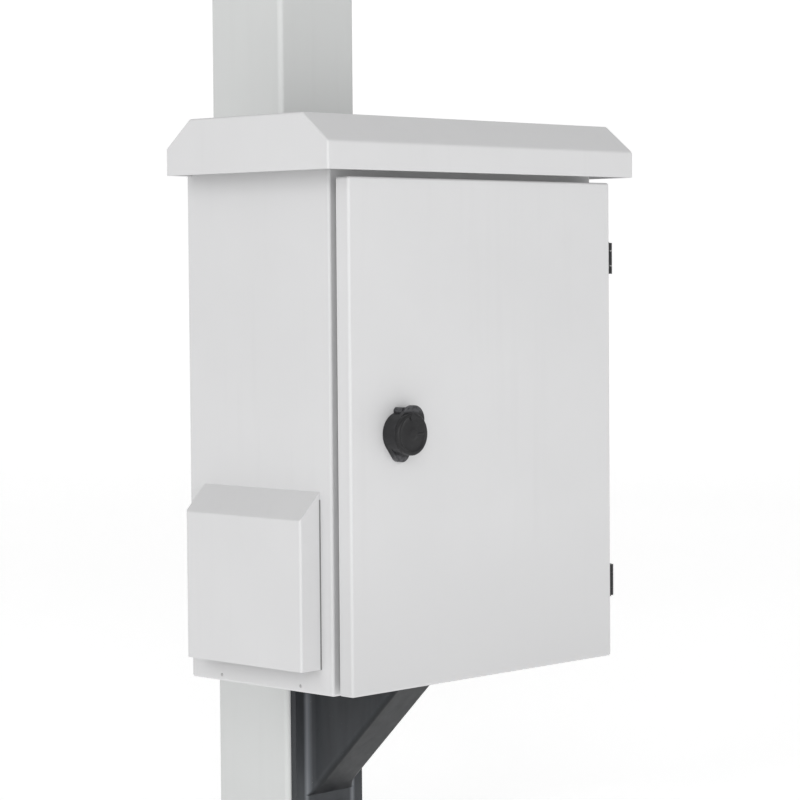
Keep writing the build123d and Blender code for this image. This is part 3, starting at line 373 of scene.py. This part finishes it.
def close_section(bm, grown):
    """Join the first and last row of a loft, so that its section is closed."""
    first, last = grown[0], grown[-1]
    for i in range(len(first)):
        j = (i + 1) % len(first)
        bm.faces.new((first[i], last[i], last[j], first[j]))


def rounded_frame(half_x, half_z, radius, centre, steps=6):
    """Corner-rounded rectangle in the XZ plane, as points at y = 0 about centre."""
    points = []
    for k, (sx, sz) in enumerate(((1, 1), (-1, 1), (-1, -1), (1, -1))):
        for i in range(steps + 1):
            a = radians(90.0 * k + 90.0 * i / steps)
            points.append(Vector((centre[0] + sx * (half_x - radius) + radius * cos(a), 0.0,
                                  centre[1] + sz * (half_z - radius) + radius * sin(a))))
    return points


# ---------------------------------------------------------------- geometry nodes
# Turns that stand a part, made with its face towards +Z, against a wall.
FRONTWARDS = (radians(90), 0, 0)
TO_THE_RIGHT = (0, radians(90), 0)
TURN_SPREAD = 2.6  # a cross recess stops anywhere


def scatter(name, part_mesh, spots, body, material, replaces=()):
    """Repeat a small part at given spots with a geometry-nodes tree, and bake it to one mesh."""
    points = bpy.data.meshes.new(name + "_spots")
    points.from_pydata([spot for spot, _ in spots], [], [])
    turns = points.attributes.new("turn", "FLOAT_VECTOR", "POINT")
    for item, (_, turn) in zip(turns.data, spots):
        item.vector = turn
    host = bpy.data.objects.new(name + "_host", points)
    source = bpy.data.objects.new(name + "_source", part_mesh)
    for obj in (host, source):
        bpy.context.scene.collection.objects.link(obj)
    group = bpy.data.node_groups.new(name + "_repeat", "GeometryNodeTree")
    face = group.interface
    face.new_socket("Geometry", in_out="INPUT", socket_type="NodeSocketGeometry")
    size = face.new_socket("Part size", in_out="INPUT", socket_type="NodeSocketFloat")
    size.default_value = 1.0
    jitter = face.new_socket("Turn spread", in_out="INPUT", socket_type="NodeSocketFloat")
    face.new_socket("Geometry", in_out="OUTPUT", socket_type="NodeSocketGeometry")
    tree = Tree(group)
    given = group.nodes.new("NodeGroupInput")
    ends = group.nodes.new("NodeGroupOutput")
    part = tree.node("GeometryNodeObjectInfo", {}, {"Object": source}, out="Geometry")
    turn = tree.node("GeometryNodeInputNamedAttribute", {"data_type": "FLOAT_VECTOR"},
                     {"Name": "turn"})
    spin = tree.node("FunctionNodeRandomValue", {"data_type": "FLOAT"},
                     {"Seed": 11, "Min": 0.0, "Max": 1.0}, out=1)
    amount = Sock(tree, given.outputs["Turn spread"]) * spin
    axis = tree.node("ShaderNodeCombineXYZ", {}, {"Z": amount})
    facing = tree.node("FunctionNodeRotateEuler", {"rotation_type": "EULER", "space": "LOCAL"},
                       {"Rotation": turn, "Rotate By": axis})
    placed = tree.node("GeometryNodeInstanceOnPoints", {}, {
        "Points": Sock(tree, given.outputs["Geometry"]), "Instance": part, "Rotation": facing,
        "Scale": tree.node("ShaderNodeCombineXYZ", {}, (
            Sock(tree, given.outputs["Part size"]),) * 3)})
    real = tree.node("GeometryNodeRealizeInstances", {}, (placed,))
    painted = tree.node("GeometryNodeSetMaterial", {}, {"Geometry": real, "Material": material})
    tree.feed(ends.inputs[0], painted)
    modifier = host.modifiers.new("repeat", "NODES")
    modifier.node_group = group
    modifier[size.identifier] = 1.0
    modifier[jitter.identifier] = TURN_SPREAD
    depsgraph = bpy.context.evaluated_depsgraph_get()
    baked = bpy.data.meshes.new_from_object(host.evaluated_get(depsgraph))
    baked.name = name
    host.modifiers.clear()
    for obj in (host, source):
        bpy.data.objects.remove(obj)
    return piece(name, baked, body, material, replaces)


def screw_head(radius, height, recess):
    """Pan head with a cross recess, its seat at z = 0 and its face towards +Z."""
    bm = bmesh.new()
    turns = 24
    outline = ((radius, 0.0), (radius, height * 0.45), (radius * 0.86, height * 0.82),
               (radius * 0.55, height))
    loft(bm, [ring_at(r, z, turns) for r, z in outline], close_last=False)
    cross = []
    for i in range(turns):
        a = 2 * pi * i / turns
        near_arm = min(abs(((a - k * pi / 2 + pi) % (2 * pi)) - pi) for k in range(4))
        reach = recess if near_arm < 0.2 else recess * 0.36
        cross.append(Vector((reach * cos(a), reach * sin(a), height)))
    rim = [bm.verts.new(p) for p in cross]
    floor = [bm.verts.new((p.x * 0.8, p.y * 0.8, height * 0.4)) for p in cross]
    top = [v for v in bm.verts if abs(v.co.z - height) < 1e-9 and v not in rim]
    top.sort(key=lambda v: atan2(v.co.y, v.co.x) % (2 * pi))
    for i in range(turns):
        j = (i + 1) % turns
        bm.faces.new((top[i], top[j], rim[j], rim[i]))
        bm.faces.new((rim[i], rim[j], floor[j], floor[i]))
    bm.faces.new(floor)
    return mesh_of(bm, "screw_head")


# ---------------------------------------------------------------- settings
class CabinetColours(bpy.types.PropertyGroup):
    sheet: FloatVectorProperty(
        name="Sheet", description="Powder coat of cabinet, door, roof and hood", subtype="COLOR",
        size=3, default=(0.61, 0.61, 0.615))
    post: FloatVectorProperty(
        name="Post", description="Paint of the square post", subtype="COLOR",
        size=3, default=(0.58, 0.59, 0.585))
    bracket: FloatVectorProperty(
        name="Bracket", description="Charcoal paint of the bracket and its plate", subtype="COLOR",
        size=3, default=(0.034, 0.036, 0.039))
    lock: FloatVectorProperty(
        name="Lock", description="Black of the lock and hinges", subtype="COLOR",
        size=3, default=(0.012, 0.012, 0.013))


class CabinetSizes(bpy.types.PropertyGroup):
    peel: FloatProperty(
        name="Orange peel", description="Strength of the powder coat's relief",
        default=0.10, min=0.0, max=1.0)
    screw: FloatProperty(
        name="Screw head", description="Radius of a small pan-head screw", default=3.2 * MM,
        unit="LENGTH", subtype="DISTANCE")
    cover_rim: FloatProperty(
        name="Cover rim", description="Width of the dust cover's raised rim", default=3.0 * MM,
        unit="LENGTH", subtype="DISTANCE")
    guard_rings: IntProperty(
        name="Guard rings", description="Wire rings in the fan's finger guard", default=5,
        min=2, max=12)


class CabinetStage(bpy.types.PropertyGroup):
    key: FloatProperty(
        name="Key light", description="Power of the soft light beside the camera",
        default=45.0, subtype="POWER", unit="POWER")
    left: FloatProperty(
        name="Left light", description="Power of the soft light on the left",
        default=37.5, subtype="POWER", unit="POWER")
    fill: FloatProperty(
        name="Front light", description="Power of the soft light facing the door",
        default=40.0, subtype="POWER", unit="POWER")
    sky: FloatProperty(
        name="Sky", description="Strength of the white surroundings", default=0.52)
    lens: FloatProperty(
        name="Lens", description="Focal length on a 36 mm sensor, in millimetres", default=121.70)
    yaw: FloatProperty(
        name="Yaw", description="Camera heading to the right of +Y",
        default=radians(45.744), subtype="ANGLE", unit="ROTATION")
    pitch: FloatProperty(
        name="Pitch", description="Camera tilt above the horizon",
        default=radians(-2.734), subtype="ANGLE", unit="ROTATION")
    roll: FloatProperty(
        name="Roll", description="Camera roll",
        default=radians(-0.45), subtype="ANGLE", unit="ROTATION")
    eye: FloatVectorProperty(
        name="Camera place", description="Where the camera stands",
        default=(-1.8376, -1.9481, 0.5665), size=3, subtype="TRANSLATION", unit="LENGTH")


def settings():
    scene = bpy.context.scene
    return scene.cabinet_colours, scene.cabinet_sizes, scene.cabinet_stage


def finishes():
    """The finish of every material slot of the record, made once."""
    colours, sizes, _ = settings()
    sheet, peel = tuple(colours.sheet), sizes.peel
    black = tuple(colours.lock)
    return {
        "post_paint": lambda n: powder_coat(n, tuple(colours.post), 0.33, peel * 0.8, 0.55),
        "cabinet_paint": lambda n: powder_coat(n, sheet, 0.46, peel),
        "door_paint": lambda n: powder_coat(n, sheet, 0.46, peel, darken_low=1.0),
        "roof_paint": lambda n: powder_coat(n, sheet, 0.46, peel),
        "hood_paint": lambda n: powder_coat(n, sheet, 0.46, peel),
        "grille_paint": lambda n: powder_coat(n, shade(sheet, 0.9), 0.5, peel),
        "dark_paint": lambda n: charcoal(n, tuple(colours.bracket)),
        "dark_fastener": lambda n: charcoal(n, shade(colours.bracket, 1.2)),
        "zinc": lambda n: plated(n, (0.66, 0.67, 0.70), 0.33),
        "galvanised": lambda n: spangled(n, (0.66, 0.68, 0.70)),
        "rivet_steel": lambda n: plated(n, (0.50, 0.50, 0.50), 0.5),
        "brass": lambda n: brushed(n, (0.80, 0.58, 0.25), (1.0, 8.0, 8.0)),
        "rubber": lambda n: moulded(n, (0.025, 0.025, 0.025), 0.7, 500.0, 0.35),
        "filter_fleece": lambda n: fleece(n, (0.75, 0.75, 0.72)),
        "black_plastic": lambda n: moulded(n, (0.03, 0.03, 0.03), 0.45),
        "fan_plastic": lambda n: moulded(n, (0.04, 0.04, 0.042), 0.4),
        "device_grey": lambda n: moulded(n, (0.68, 0.69, 0.68), 0.42),
        "toggle_black": lambda n: moulded(n, (0.03, 0.03, 0.035), 0.3),
        "psu_metal": lambda n: brushed(n, (0.70, 0.71, 0.73), (1.0, 1.0, 14.0)),
        "controller_plastic": lambda n: moulded(n, (0.10, 0.12, 0.14), 0.42),
        "terminal_plastic": lambda n: moulded(n, (0.40, 0.42, 0.41), 0.42),
        "duct_plastic": lambda n: moulded(n, (0.47, 0.49, 0.50), 0.4),
        "hinge_black": lambda n: cast_black(n, shade(black, 1.2), 0.40),
        "hinge_pin_steel": lambda n: plated(n, (0.42, 0.42, 0.43), 0.3),
        "gasket_foam": lambda n: foam(n, (0.05, 0.05, 0.05)),
        # the lock's ears get patches of painted highlight
        "lock_black": lambda n: cast_black(n, shade(black, 1.5), 0.42, 17 * MM, lock_height()),
        "cover_black": lambda n: cast_black(n, black, 0.36),
        "cover_pin": lambda n: cast_black(n, shade(black, 1.3), 0.34),
        "core_metal": lambda n: brushed(n, (0.60, 0.60, 0.61), (8.0, 1.0, 8.0)),
    }


def lock_height():
    """Height of the lock's axis: its dust cover is a disc round it."""
    low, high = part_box("dust_cover")
    return (low[2] + high[2]) / 2


def finish_of(slot):
    """The shared material of a slot."""
    found = bpy.data.materials.get("finish_" + slot)
    return found or finishes()[slot]("finish_" + slot)


# ---------------------------------------------------------------- operators
class CABINET_OT_coat(bpy.types.Operator):
    """Give every CAD node the finish of its material slot"""

    bl_idname = "cabinet.coat"
    bl_label = "Coat the frame"

    def execute(self, context):
        slots = {part["node"]: part["material_slot"] for part in frame["record"]["subparts"]}
        for name, obj in frame["nodes"].items():
            material = finish_of(slots[name])
            for place in obj.material_slots:
                place.material = material
        return {"FINISHED"}


class CABINET_OT_gasket(bpy.types.Operator):
    """Door seal: one foamed strip with a rounded back, mitred soft corners"""

    bl_idname = "cabinet.gasket"
    bl_label = "Door gasket"

    def execute(self, context):
        low, high = (Vector(c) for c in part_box("door_gasket"))
        centre = ((low.x + high.x) / 2, (low.z + high.z) / 2)
        half_x, half_z = (high.x - low.x) / 2, (high.z - low.z) / 2
        width, depth, corner, tightest = 12 * MM, high.y - low.y, 16 * MM, 3 * MM
        section = [(0.0, 0.0), (0.0, 0.55), (0.10, 0.84), (0.26, 0.97), (0.5, 1.0),
                   (0.74, 0.97), (0.90, 0.84), (1.0, 0.55), (1.0, 0.0)]
        bm = bmesh.new()
        rings = []
        for across, up in section:
            inset = width * across
            bend = max(corner - inset, tightest)
            ring = rounded_frame(half_x - inset, half_z - inset, bend, centre)
            rings.append([p + Vector((0, low.y + depth * up, 0)) for p in ring])
        close_section(bm, loft(bm, rings, close_first=False, close_last=False))
        piece("door_seal", mesh_of(bm, "door_seal"), "door",
              finish_of("gasket_foam"), ["door_gasket"])
        return {"FINISHED"}


def circle(reach, steps):
    """Points of a circle in the XZ plane as (x, z)."""
    return [(reach * cos(2 * pi * i / steps), reach * sin(2 * pi * i / steps))
            for i in range(steps)]


class CABINET_OT_cover(bpy.types.Operator):
    """Swinging dust cover of the lock: a turned disc with a rim, a button and a finger rib"""

    bl_idname = "cabinet.cover"
    bl_label = "Lock dust cover"

    def execute(self, context):
        _, sizes, _ = settings()
        low, high = (Vector(c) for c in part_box("dust_cover"))
        radius = (high.x - low.x) / 2
        depth = (high.y - low.y) * 0.975  # so the pivot's head stands just proud
        centre = Vector(((low.x + high.x) / 2, high.y, (low.z + high.z) / 2))
        rim = sizes.cover_rim
        # Insets from the rim and shares of the thickness, from the back face round to the middle.
        section = (
            (0.0, 0.0), (0.0, 0.70), (0.3 * MM, 0.86), (0.9 * MM, 0.97), (1.7 * MM, 1.0),
            (rim, 1.0), (rim + 0.5 * MM, 0.90), (rim + 1.0 * MM, 0.86), (rim + 3.5 * MM, 0.88),
            (rim + 9.0 * MM, 0.90), (rim + 10.5 * MM, 0.93), (rim + 11.5 * MM, 0.99),
            (rim + 13.0 * MM, 1.0),
        )
        bm = bmesh.new()
        loft(bm, [self.ring(centre, radius - inset, depth * share) for inset, share in section])
        self.finger_rib(bm, centre, depth)
        piece("lock_cover", mesh_of(bm, "lock_cover"), "dust_cover",
              finish_of("cover_black"), ["dust_cover"])
        return {"FINISHED"}

    @staticmethod
    def ring(centre, reach, out):
        return [centre + Vector((x, -out, z)) for x, z in circle(reach, steps=64)]

    @staticmethod
    def finger_rib(bm, centre, depth):
        """Short level rib beside the middle of the face, by which the cover is swung aside."""
        half, ends, steps, out = 1.1 * MM, 4.2 * MM, 8, 10.2 * MM
        rings = []
        for share, inset in ((0.84, 0.0), (0.94, 0.0), (1.0, 0.5 * MM)):
            width = half - inset
            outline = []
            for side in (1, -1):
                for i in range(steps + 1):
                    a = pi * i / steps + (0.0 if side > 0 else pi)
                    outline.append((width * cos(a), side * (ends - half) + width * sin(a)))
            rings.append([centre + Vector((out + z, -depth * share, x)) for x, z in outline])
        loft(bm, rings)


class CABINET_OT_rivets(bpy.types.Operator):
    """Domed blind rivets low on both sides of the cabinet"""

    bl_idname = "cabinet.rivets"
    bl_label = "Side rivets"

    def execute(self, context):
        low, high = (Vector(c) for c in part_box("side_rivets"))
        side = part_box("cabinet_wrap")[1][0]
        head, middle, dome = (high.z - low.z) / 2, (low.z + high.z) / 2, 0.6 * MM
        bm = bmesh.new()
        outline = ((0.0, 1.0), (0.35, 0.98), (0.62, 0.82), (0.80, 0.45), (0.80, 0.36), (0.55, 0.30))
        turns, tail = 20, -3.0 * MM
        rings = [ring_at(head * r, dome * z, turns) for z, r in outline]
        shank = [Vector((p.x * 0.6, p.y * 0.6, tail)) for p in rings[0]]
        loft(bm, [shank, *rings])
        spots = [((end * side, y, middle), (0, end * radians(90), 0))
                 for end in (-1, 1) for y in (low.y + head, high.y - head)]
        scatter("rivet_heads", mesh_of(bm, "rivet"), spots, "cabinet",
                finish_of("rivet_steel"), ["side_rivets"])
        return {"FINISHED"}


class CABINET_OT_hood_shadow_line(bpy.types.Operator):
    """Dark strip up both sides of the vent hood, where it meets the cabinet's side: painted shade
    standing for the shadow line there
    """

    bl_idname = "cabinet.hood_seal"
    bl_label = "Hood shadow line"

    def execute(self, context):
        low, high = (Vector(c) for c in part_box("side_hood"))
        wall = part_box("cabinet_wrap")[0][0]
        proud, depth, under, top_gap = 0.6 * MM, 1.1 * MM, 0.5 * MM, 7.0 * MM
        section = ((-under, 0.0), (proud, 0.0), (proud, 0.5), (proud * 0.5, 1.0), (-under, 1.0))
        bm = bmesh.new()
        for edge, way in ((low.y, -1), (high.y, 1)):
            loft(bm, [[Vector((wall - depth * share, edge + way * out, z))
                       for out, share in section] for z in (low.z, high.z - top_gap)])
        # dark strip: painted shade for the shadow line along the hood's sides
        piece("hood_seal", mesh_of(bm, "hood_seal"), "cabinet",
              moulded("finish_hood_shadow_line", (0.16, 0.16, 0.16), 0.6))
        return {"FINISHED"}


class CABINET_OT_hinge_screws(bpy.types.Operator):
    """Pan-head screws through the hinge leaves, into the door's edge and the frame"""

    bl_idname = "cabinet.hinge_screws"
    bl_label = "Hinge screws"

    def execute(self, context):
        _, sizes, _ = settings()
        leaf, rise, door_inset, body_inset = 3 * MM, 9 * MM, 3.4 * MM, 5.5 * MM
        on_door, on_body = [], []
        for place in ("lower", "upper"):
            low, high = (Vector(c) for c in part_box("hinge_door_leaf_" + place))
            body_low, body_high = (Vector(c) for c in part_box("hinge_body_leaf_" + place))
            middle = (low.z + high.z) / 2
            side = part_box("door_panel")[1][0] + leaf
            for z in (middle - rise, middle + rise):
                on_door.append(((side, low.y + door_inset, z), TO_THE_RIGHT))
                on_body.append(((body_low.x + body_inset, body_high.y - leaf, z), FRONTWARDS))
        for name, spots, body in (("door_leaf_screws", on_door, "door"),
                                  ("body_leaf_screws", on_body, "cabinet")):
            head = screw_head(sizes.screw * 0.8, 1.3 * MM, sizes.screw * 0.5)
            scatter(name, head, spots, body, finish_of("zinc"))
        return {"FINISHED"}


class CABINET_OT_terminals(bpy.types.Operator):
    """Clamp screws of the terminal row, the breaker and the power supply"""

    bl_idname = "cabinet.terminals"
    bl_label = "Terminal screws"

    def execute(self, context):
        low, high = (Vector(c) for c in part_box("terminal_blocks"))
        count, inset, rise = 16, 2.9 * MM, 9.5 * MM
        pitch = (high.x - low.x - 2 * inset) / (count - 1)
        middle = (low.z + high.z) / 2
        self.row("terminal_screws", (2.2, 0.8, 1.5), low.y,
                 [(low.x + inset + pitch * k, middle + dz)
                  for k in range(count) for dz in (-rise, rise)])

        low, high = (Vector(c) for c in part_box("breaker"))
        x, z = (low.x + high.x) / 2, (low.z + high.z) / 2
        side, rise, shoulder = 9 * MM, 32 * MM, 20 * MM
        self.row("breaker_screws", (2.6, 1.0, 1.8), low.y + shoulder,
                 [(x + dx, z + dz) for dx in (-side, side) for dz in (-rise, rise)])

        low, high = (Vector(c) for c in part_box("power_supply"))
        x, z = (low.x + high.x) / 2, (low.z + high.z) / 2
        count, pitch, drop, recess = 6, 10 * MM, 34 * MM, 4 * MM
        self.row("supply_screws", (2.6, 1.0, 1.8), low.y + recess,
                 [(x + (k - (count - 1) / 2) * pitch, z - drop) for k in range(count)])
        return {"FINISHED"}

    @staticmethod
    def row(name, head, y, places):
        """Screws facing the door; head is radius, height and recess in millimetres."""
        radius, height, recess = head
        spots = [((x, y, z), FRONTWARDS) for x, z in places]
        scatter(name, screw_head(radius * MM, height * MM, recess * MM), spots, "cabinet",
                finish_of("zinc"))


class CABINET_OT_indicators(bpy.types.Operator):
    """Row of indicator lenses on the controller's face"""

    bl_idname = "cabinet.indicators"
    bl_label = "Indicator lenses"

    def execute(self, context):
        low, high = (Vector(c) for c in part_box("controller"))
        bm = bmesh.new()
        turns, count = 16, 8
        dome = ((1.7, 0.0), (1.7, 0.5), (1.45, 0.95), (0.8, 1.3))
        loft(bm, [ring_at(r * MM, z * MM, turns) for r, z in dome])
        lens = mesh_of(bm, "lens")
        inset, pitch, drop = 18 * MM, 9 * MM, 30 * MM
        spots = [((low.x + inset + pitch * k, low.y, high.z - drop), FRONTWARDS)
                 for k in range(count)]
        material = lamp_lens("finish_lens", (0.10, 0.65, 0.16), 0.25)
        scatter("controller_lenses", lens, spots, "cabinet", material)
        return {"FINISHED"}


class CABINET_OT_fan_guard(bpy.types.Operator):
    """Wire finger guard on the fan's inner face, from rings and spokes"""

    bl_idname = "cabinet.fan_guard"
    bl_label = "Fan guard"

    def execute(self, context):
        _, sizes, _ = settings()
        low, high = (Vector(c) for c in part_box("fan_frame"))
        centre = Vector((high.x + 1.0 * MM, (low.y + high.y) / 2, (low.z + high.z) / 2))
        bm = bmesh.new()
        wire, inner, spread = 0.9 * MM, 9.0 * MM, 29.0 * MM
        for k in range(sizes.guard_rings):
            self.ring(bm, centre, inner + spread * k / (sizes.guard_rings - 1), wire)
        spoke_start, spoke_end = 8 * MM, 50 * MM
        for k in range(4):
            a = radians(45 + 90 * k)
            out = Vector((0, cos(a), sin(a)))
            self.rod(bm, centre + out * spoke_start, centre + out * spoke_end, wire)
        piece("fan_guard", mesh_of(bm, "fan_guard"), "cabinet", finish_of("zinc"))
        return {"FINISHED"}

    @staticmethod
    def ring(bm, centre, reach, wire):
        turns, sides = 48, 8
        rings = []
        for i in range(turns):
            a = 2 * pi * i / turns
            out = Vector((0, cos(a), sin(a)))
            rings.append([centre + out * (reach + wire * cos(2 * pi * j / sides))
                          + Vector((wire * sin(2 * pi * j / sides), 0, 0)) for j in range(sides)])
        rings.append(rings[0])
        loft(bm, rings, close_first=False, close_last=False)

    @staticmethod
    def rod(bm, start, end, wire):
        sides = 8
        along = (end - start).normalized()
        across = Vector((1, 0, 0))
        third = along.cross(across)
        rings = [[point + across * wire * cos(2 * pi * j / sides)
                  + third * wire * sin(2 * pi * j / sides) for j in range(sides)]
                 for point in (start, end)]
        loft(bm, rings)


LIT_POINT = Vector((0.0, -0.15, 0.45))  # middle of the cabinet, at which the lamps point


class CABINET_OT_stage(bpy.types.Operator):
    """Pale floor and backdrop, soft lights and the camera"""

    bl_idname = "cabinet.stage"
    bl_label = "Stage"

    def execute(self, context):
        _, _, stage = settings()
        self.sweep()
        self.surroundings(stage)
        self.lamp("key_light", stage.key, place=(-3.1, -3.3, 1.5), size=(1.5, 2.4))
        self.lamp("left_light", stage.left, place=(-4.2, -0.4, 1.9), size=(2.6, 2.6))
        self.lamp("front_light", stage.fill, place=(-0.5, -4.6, 1.2), size=(2.6, 2.6))
        self.camera(stage)
        return {"FINISHED"}

    @staticmethod
    def sweep():
        """Floor that curves up into a backdrop behind the cabinet."""
        bm = bmesh.new()
        front, run, rise, bend, half, steps = -9.0, 9.0, 8.0, 2.5, 14.0, 12
        start = run - bend
        profile = [(front, 0.0), (start, 0.0)]
        for i in range(1, steps + 1):
            a = radians(90.0 * i / steps)
            profile.append((start + bend * sin(a), bend - bend * cos(a)))
        profile.append((run, rise))
        turn = Matrix.Rotation(radians(-45), 3, "Z")
        rows = [[bm.verts.new(turn @ Vector((x, y, z))) for x in (-half, half)] for y, z in profile]
        for low, high in zip(rows, rows[1:]):
            bm.faces.new((low[0], low[1], high[1], high[0]))
        mesh = mesh_of(bm, "sweep", smooth_angle=60.0)
        obj = bpy.data.objects.new("sweep", mesh)
        bpy.context.scene.collection.objects.link(obj)
        f = Finish("finish_sweep", roughness=0.9, specular=0.0)
        cloud = f.noise(0.8, 2.0)
        f.set("Base Color", f.mix(cloud, (0.95, 0.95, 0.95), (0.98, 0.98, 0.98)))
        f.set("Emission Color", (1.0, 1.0, 1.0, 1.0))
        f.set("Emission Strength", 0.35)
        mesh.materials.append(f.material)

    @staticmethod
    def surroundings(stage):
        world = bpy.data.worlds.new("surroundings")
        bpy.context.scene.world = world
        world.use_nodes = True
        back = world.node_tree.nodes["Background"]
        back.inputs["Color"].default_value = (1.0, 1.0, 1.0, 1.0)
        tree = Tree(world.node_tree)
        seen = tree.node("ShaderNodeLightPath", out="Is Camera Ray")
        tree.feed(back.inputs["Strength"], seen * (1.0 - stage.sky) + stage.sky)
        bpy.context.scene.view_settings.view_transform = "Standard"

    @staticmethod
    def lamp(name, power, place, size):
        light = bpy.data.lights.new(name, "AREA")
        light.shape = "RECTANGLE"
        light.size, light.size_y = size
        light.energy = power
        obj = bpy.data.objects.new(name, light)
        obj.location = place
        aim = LIT_POINT - Vector(place)
        obj.rotation_euler = aim.to_track_quat("-Z", "Y").to_euler()
        bpy.context.scene.collection.objects.link(obj)

    @staticmethod
    def camera(stage):
        data = bpy.data.cameras.new("camera")
        data.lens = stage.lens
        data.sensor_width = 36.0
        data.clip_end = 100.0
        obj = bpy.data.objects.new("camera", data)
        ahead = Vector((sin(stage.yaw) * cos(stage.pitch), cos(stage.yaw) * cos(stage.pitch),
                        sin(stage.pitch)))
        right = Vector((cos(stage.yaw), -sin(stage.yaw), 0.0))
        up = right.cross(ahead)
        rolled_right = right * cos(stage.roll) + up * sin(stage.roll)
        rolled_up = up * cos(stage.roll) - right * sin(stage.roll)
        turn = Matrix((rolled_right, rolled_up, -ahead)).transposed()
        obj.matrix_world = Matrix.Translation(Vector(stage.eye)) @ turn.to_4x4()
        bpy.context.scene.collection.objects.link(obj)
        bpy.context.scene.camera = obj


class CABINET_PT_panel(bpy.types.Panel):
    """Lists the cabinet's steps and settings"""

    bl_idname = "CABINET_PT_panel"
    bl_label = "Post cabinet"
    bl_space_type = "VIEW_3D"
    bl_region_type = "UI"
    bl_category = "Cabinet"

    def draw(self, context):
        for step in STEPS:
            self.layout.operator(step.bl_idname)
        for group in settings():
            for name in group.__annotations__:
                self.layout.prop(group, name)


STEPS = (
    CABINET_OT_coat,
    CABINET_OT_gasket,
    CABINET_OT_cover,
    CABINET_OT_rivets,
    CABINET_OT_hood_shadow_line,
    CABINET_OT_hinge_screws,
    CABINET_OT_terminals,
    CABINET_OT_indicators,
    CABINET_OT_fan_guard,
    CABINET_OT_stage,
)
GROUPS = {
    "cabinet_colours": CabinetColours,
    "cabinet_sizes": CabinetSizes,
    "cabinet_stage": CabinetStage,
}


def register():
    for name, group in GROUPS.items():
        bpy.utils.register_class(group)
        setattr(bpy.types.Scene, name, bpy.props.PointerProperty(type=group))
    for kind in (*STEPS, CABINET_PT_panel):
        bpy.utils.register_class(kind)


def unregister():
    for kind in (CABINET_PT_panel, *reversed(STEPS)):
        bpy.utils.unregister_class(kind)
    for name, group in GROUPS.items():
        delattr(bpy.types.Scene, name)
        bpy.utils.unregister_class(group)


def main():
    """Make the looks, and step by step."""
    register()
    bpy.ops.cabinet.coat()
    bpy.ops.cabinet.gasket()
    bpy.ops.cabinet.cover()
    bpy.ops.cabinet.rivets()
    bpy.ops.cabinet.hood_seal()
    bpy.ops.cabinet.hinge_screws()
    bpy.ops.cabinet.terminals()
    bpy.ops.cabinet.indicators()
    bpy.ops.cabinet.fan_guard()
    bpy.ops.cabinet.stage()


if __name__ == "__main__":
    main()
